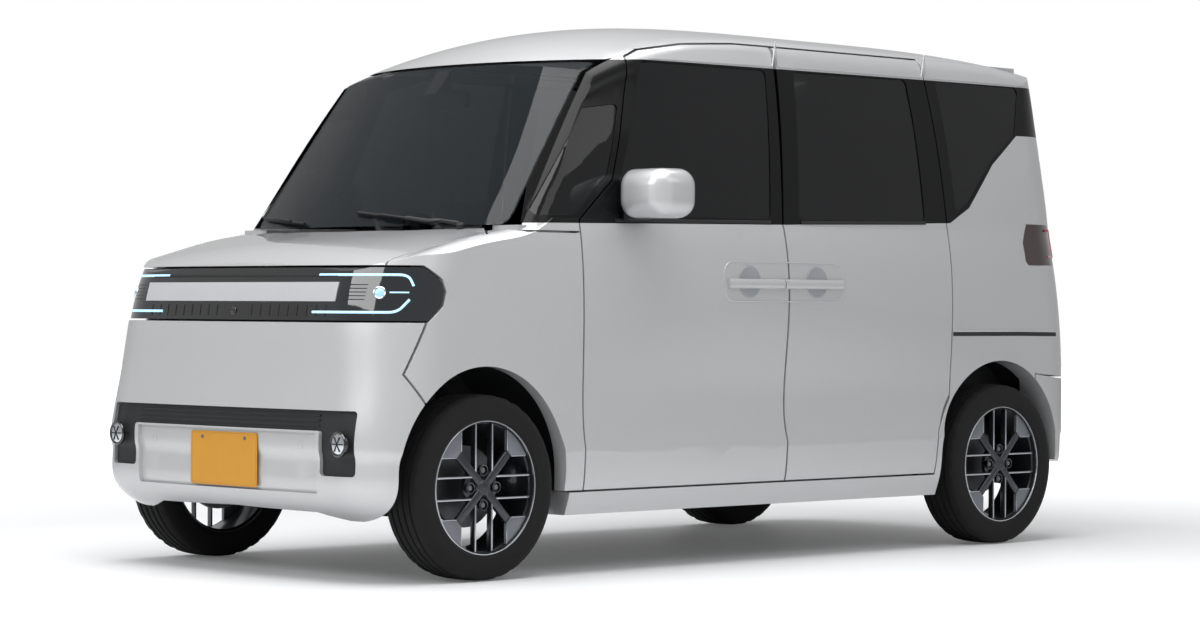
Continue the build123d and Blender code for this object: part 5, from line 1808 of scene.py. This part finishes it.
@dataclass
class Cushion:
    """A foam pad under cloth, swollen by a short cloth simulation."""

    name: str
    node: str
    blocks: tuple[PadBlock, ...]
    fill: float = 0.8
    channels: tuple[float, ...] = ()
    channel_width: float = 0.009
    channel_depth: float = 0.006
    centres: tuple[float, ...] = (0.0,)
    voxel: float = 0.010
    swell_cap: float = 0.012
    pressure: float = 4.0
    frames: int = 20

    def build(self) -> bpy.types.Object:
        """Makes the cushion, with its sewn channels pressed in afterwards.

        Returns:
            The cushion.
        """
        shape = bmesh.new()
        for block in self.blocks:
            turn = Matrix.Rotation(math.radians(-block.tilt), 3, "X")
            rounded_block(shape, block.middle, block.size, block.radius, turn)
        made = finished_piece(self.name, shape, SEAT_CLOTH, "body", crease=180)
        self.remesh(made)
        self.swell(made)
        self.press_channels(made)
        for face in made.data.polygons:
            face.use_smooth = True
        finer = made.modifiers.new("finer", "SUBSURF")
        finer.levels = finer.render_levels = 1
        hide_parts(self.node)
        return made

    def evaluated(self, made: bpy.types.Object) -> bpy.types.Mesh:
        """Works the modifiers out and takes them off.

        Args:
            made: the piece.

        Returns:
            Its mesh with the modifiers applied.
        """
        graph = bpy.context.evaluated_depsgraph_get()
        mesh = bpy.data.meshes.new_from_object(made.evaluated_get(graph))
        made.modifiers.clear()
        return mesh

    def remesh(self, made: bpy.types.Object) -> None:
        """Gives the pad an even mesh.

        Args:
            made: the pad.
        """
        even = made.modifiers.new("even", "REMESH")
        even.mode = "VOXEL"
        even.voxel_size = self.voxel
        mesh = self.evaluated(made)
        mesh.name = self.name
        made.data = mesh
        if not made.material_slots:
            mesh.materials.append(SEAT_CLOTH.material())

    def swell(self, made: bpy.types.Object) -> None:
        """Swells the pad with air pressure and no gravity, and caps how far a point moves.

        Args:
            made: the pad.
        """
        scene = bpy.context.scene
        cloth = made.modifiers.new("swell", "CLOTH")
        cloth.settings.use_pressure = True
        cloth.settings.uniform_pressure_force = self.pressure
        cloth.settings.effector_weights.gravity = 0.0
        cloth.settings.quality = 4
        before = [vert.co.copy() for vert in made.data.vertices]
        for number in range(1, self.frames + 1):
            scene.frame_set(number)
        swollen = self.evaluated(made)
        for vert, old, new in zip(made.data.vertices, before, swollen.vertices):
            move = new.co - old
            if move.length > self.swell_cap:
                move = move.normalized() * self.swell_cap
            vert.co = old + move
        bpy.data.meshes.remove(swollen)
        scene.frame_set(1)

    def press_channels(self, made: bpy.types.Object) -> None:
        """Presses the sewn channels in along lines that run fore and aft.

        Args:
            made: the pad.
        """
        normals = [vert.normal.copy() for vert in made.data.vertices]
        for vert, normal in zip(made.data.vertices, normals):
            for centre in self.centres:
                for channel in self.channels:
                    off = (vert.co.x - centre - channel) / self.channel_width
                    if abs(off) < 3:
                        vert.co -= normal * self.channel_depth * math.exp(-off * off)


SEAT_PLACES = (-0.322, 0.322)


@dataclass
class Cabin:
    """Seats and the small pieces that show through the glass."""

    def build(self) -> None:
        """Makes the pads, their bases and the dashboard's screens."""
        cushions = tuple(PadBlock((x, -0.245, 0.528), (0.440, 0.440, 0.105), 4.0) for x in SEAT_PLACES)
        backs = tuple(PadBlock((x, 0.070, 0.875), (0.420, 0.078, 0.560), 10.5) for x in SEAT_PLACES)
        heads = tuple(PadBlock((x, 0.146, 1.255), (0.225, 0.068, 0.140), 6.0, 0.030) for x in SEAT_PLACES)
        for name, blocks in (("front_cushions", cushions), ("front_backs", backs)):
            Cushion(name, "front_seats", blocks, channels=(-0.12, 0.12), centres=SEAT_PLACES).build()
        Cushion("head_restraints", "front_seats", heads, swell_cap=0.008).build()
        rear = (PadBlock((0, 0.820, 0.570), (0.970, 0.370, 0.100), 4.0),)
        rear_back = (PadBlock((0, 1.130, 0.880), (0.960, 0.075, 0.560), 10.0),)
        for name, blocks in (("rear_cushion", rear), ("rear_back", rear_back)):
            Cushion(name, "rear_seat", blocks, channels=(-0.24, 0.0, 0.24), voxel=0.012).build()
        self.seat_bases()
        self.dash_details()
        log.info("cabin made")

    def seat_bases(self) -> None:
        """Makes the moulded bases under the pads and the posts of the head restraints."""
        low, _ = (Vector(c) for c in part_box("front_seats"))
        base = bmesh.new()
        top, bench_top = 0.474, 0.518
        for x in SEAT_PLACES:
            rounded_block(base, (x, -0.240, (low.z + top) / 2), (0.400, 0.430, top - low.z), 0.02)
            for post in (-0.06, 0.06):
                rounded_block(base, (x + post, 0.130, 1.175), (0.010, 0.010, 0.070), 0.004)
        made = finished_piece("front_seat_bases", base, DASH_SKIN, "body")
        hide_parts("front_seats")
        low, _ = (Vector(c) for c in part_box("rear_seat"))
        bench = bmesh.new()
        rounded_block(bench, (0, 0.760, (low.z + bench_top) / 2), (0.900, 0.180, bench_top - low.z), 0.02)
        rounded_block(bench, (0, 0.980, 0.490), (0.900, 0.280, 0.060), 0.02)
        rear = finished_piece("rear_seat_base", bench, DASH_SKIN, "body")
        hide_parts("rear_seat")

    def dash_details(self) -> None:
        """Makes the centre screen, the driver's display and their feet, blank and dark."""
        _, high = (Vector(c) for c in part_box("dashboard"))
        screen = bmesh.new()
        rounded_block(screen, (0.0, -0.735, high.z + 0.050), (0.250, 0.012, 0.140), 0.005)
        rounded_block(screen, (-0.330, -0.785, high.z + 0.030), (0.240, 0.014, 0.090), 0.005)
        rounded_block(screen, (0.0, -0.745, high.z - 0.020), (0.060, 0.020, 0.060), 0.005)
        rounded_block(screen, (-0.330, -0.790, high.z - 0.015), (0.060, 0.020, 0.040), 0.005)
        finished_piece("dash_screens", screen, GLOSS_BLACK, "body")


def main() -> None:
    """Builds the whole scene round the frame."""
    logging.basicConfig(level=logging.INFO, format="%(message)s")
    Studio().build()
    View().place()
    CarFinish().apply()
    tyre, face = Tyre(), AlloyFace()
    for wheel in WHEELS:
        tyre.build(wheel)
        face.build(wheel)
    FrontEnd().build()
    Flanks().build()
    Wipers().build()
    Mirrors().build()
    Rear().build()
    Cabin().build()


if __name__ == "__main__":
    main()
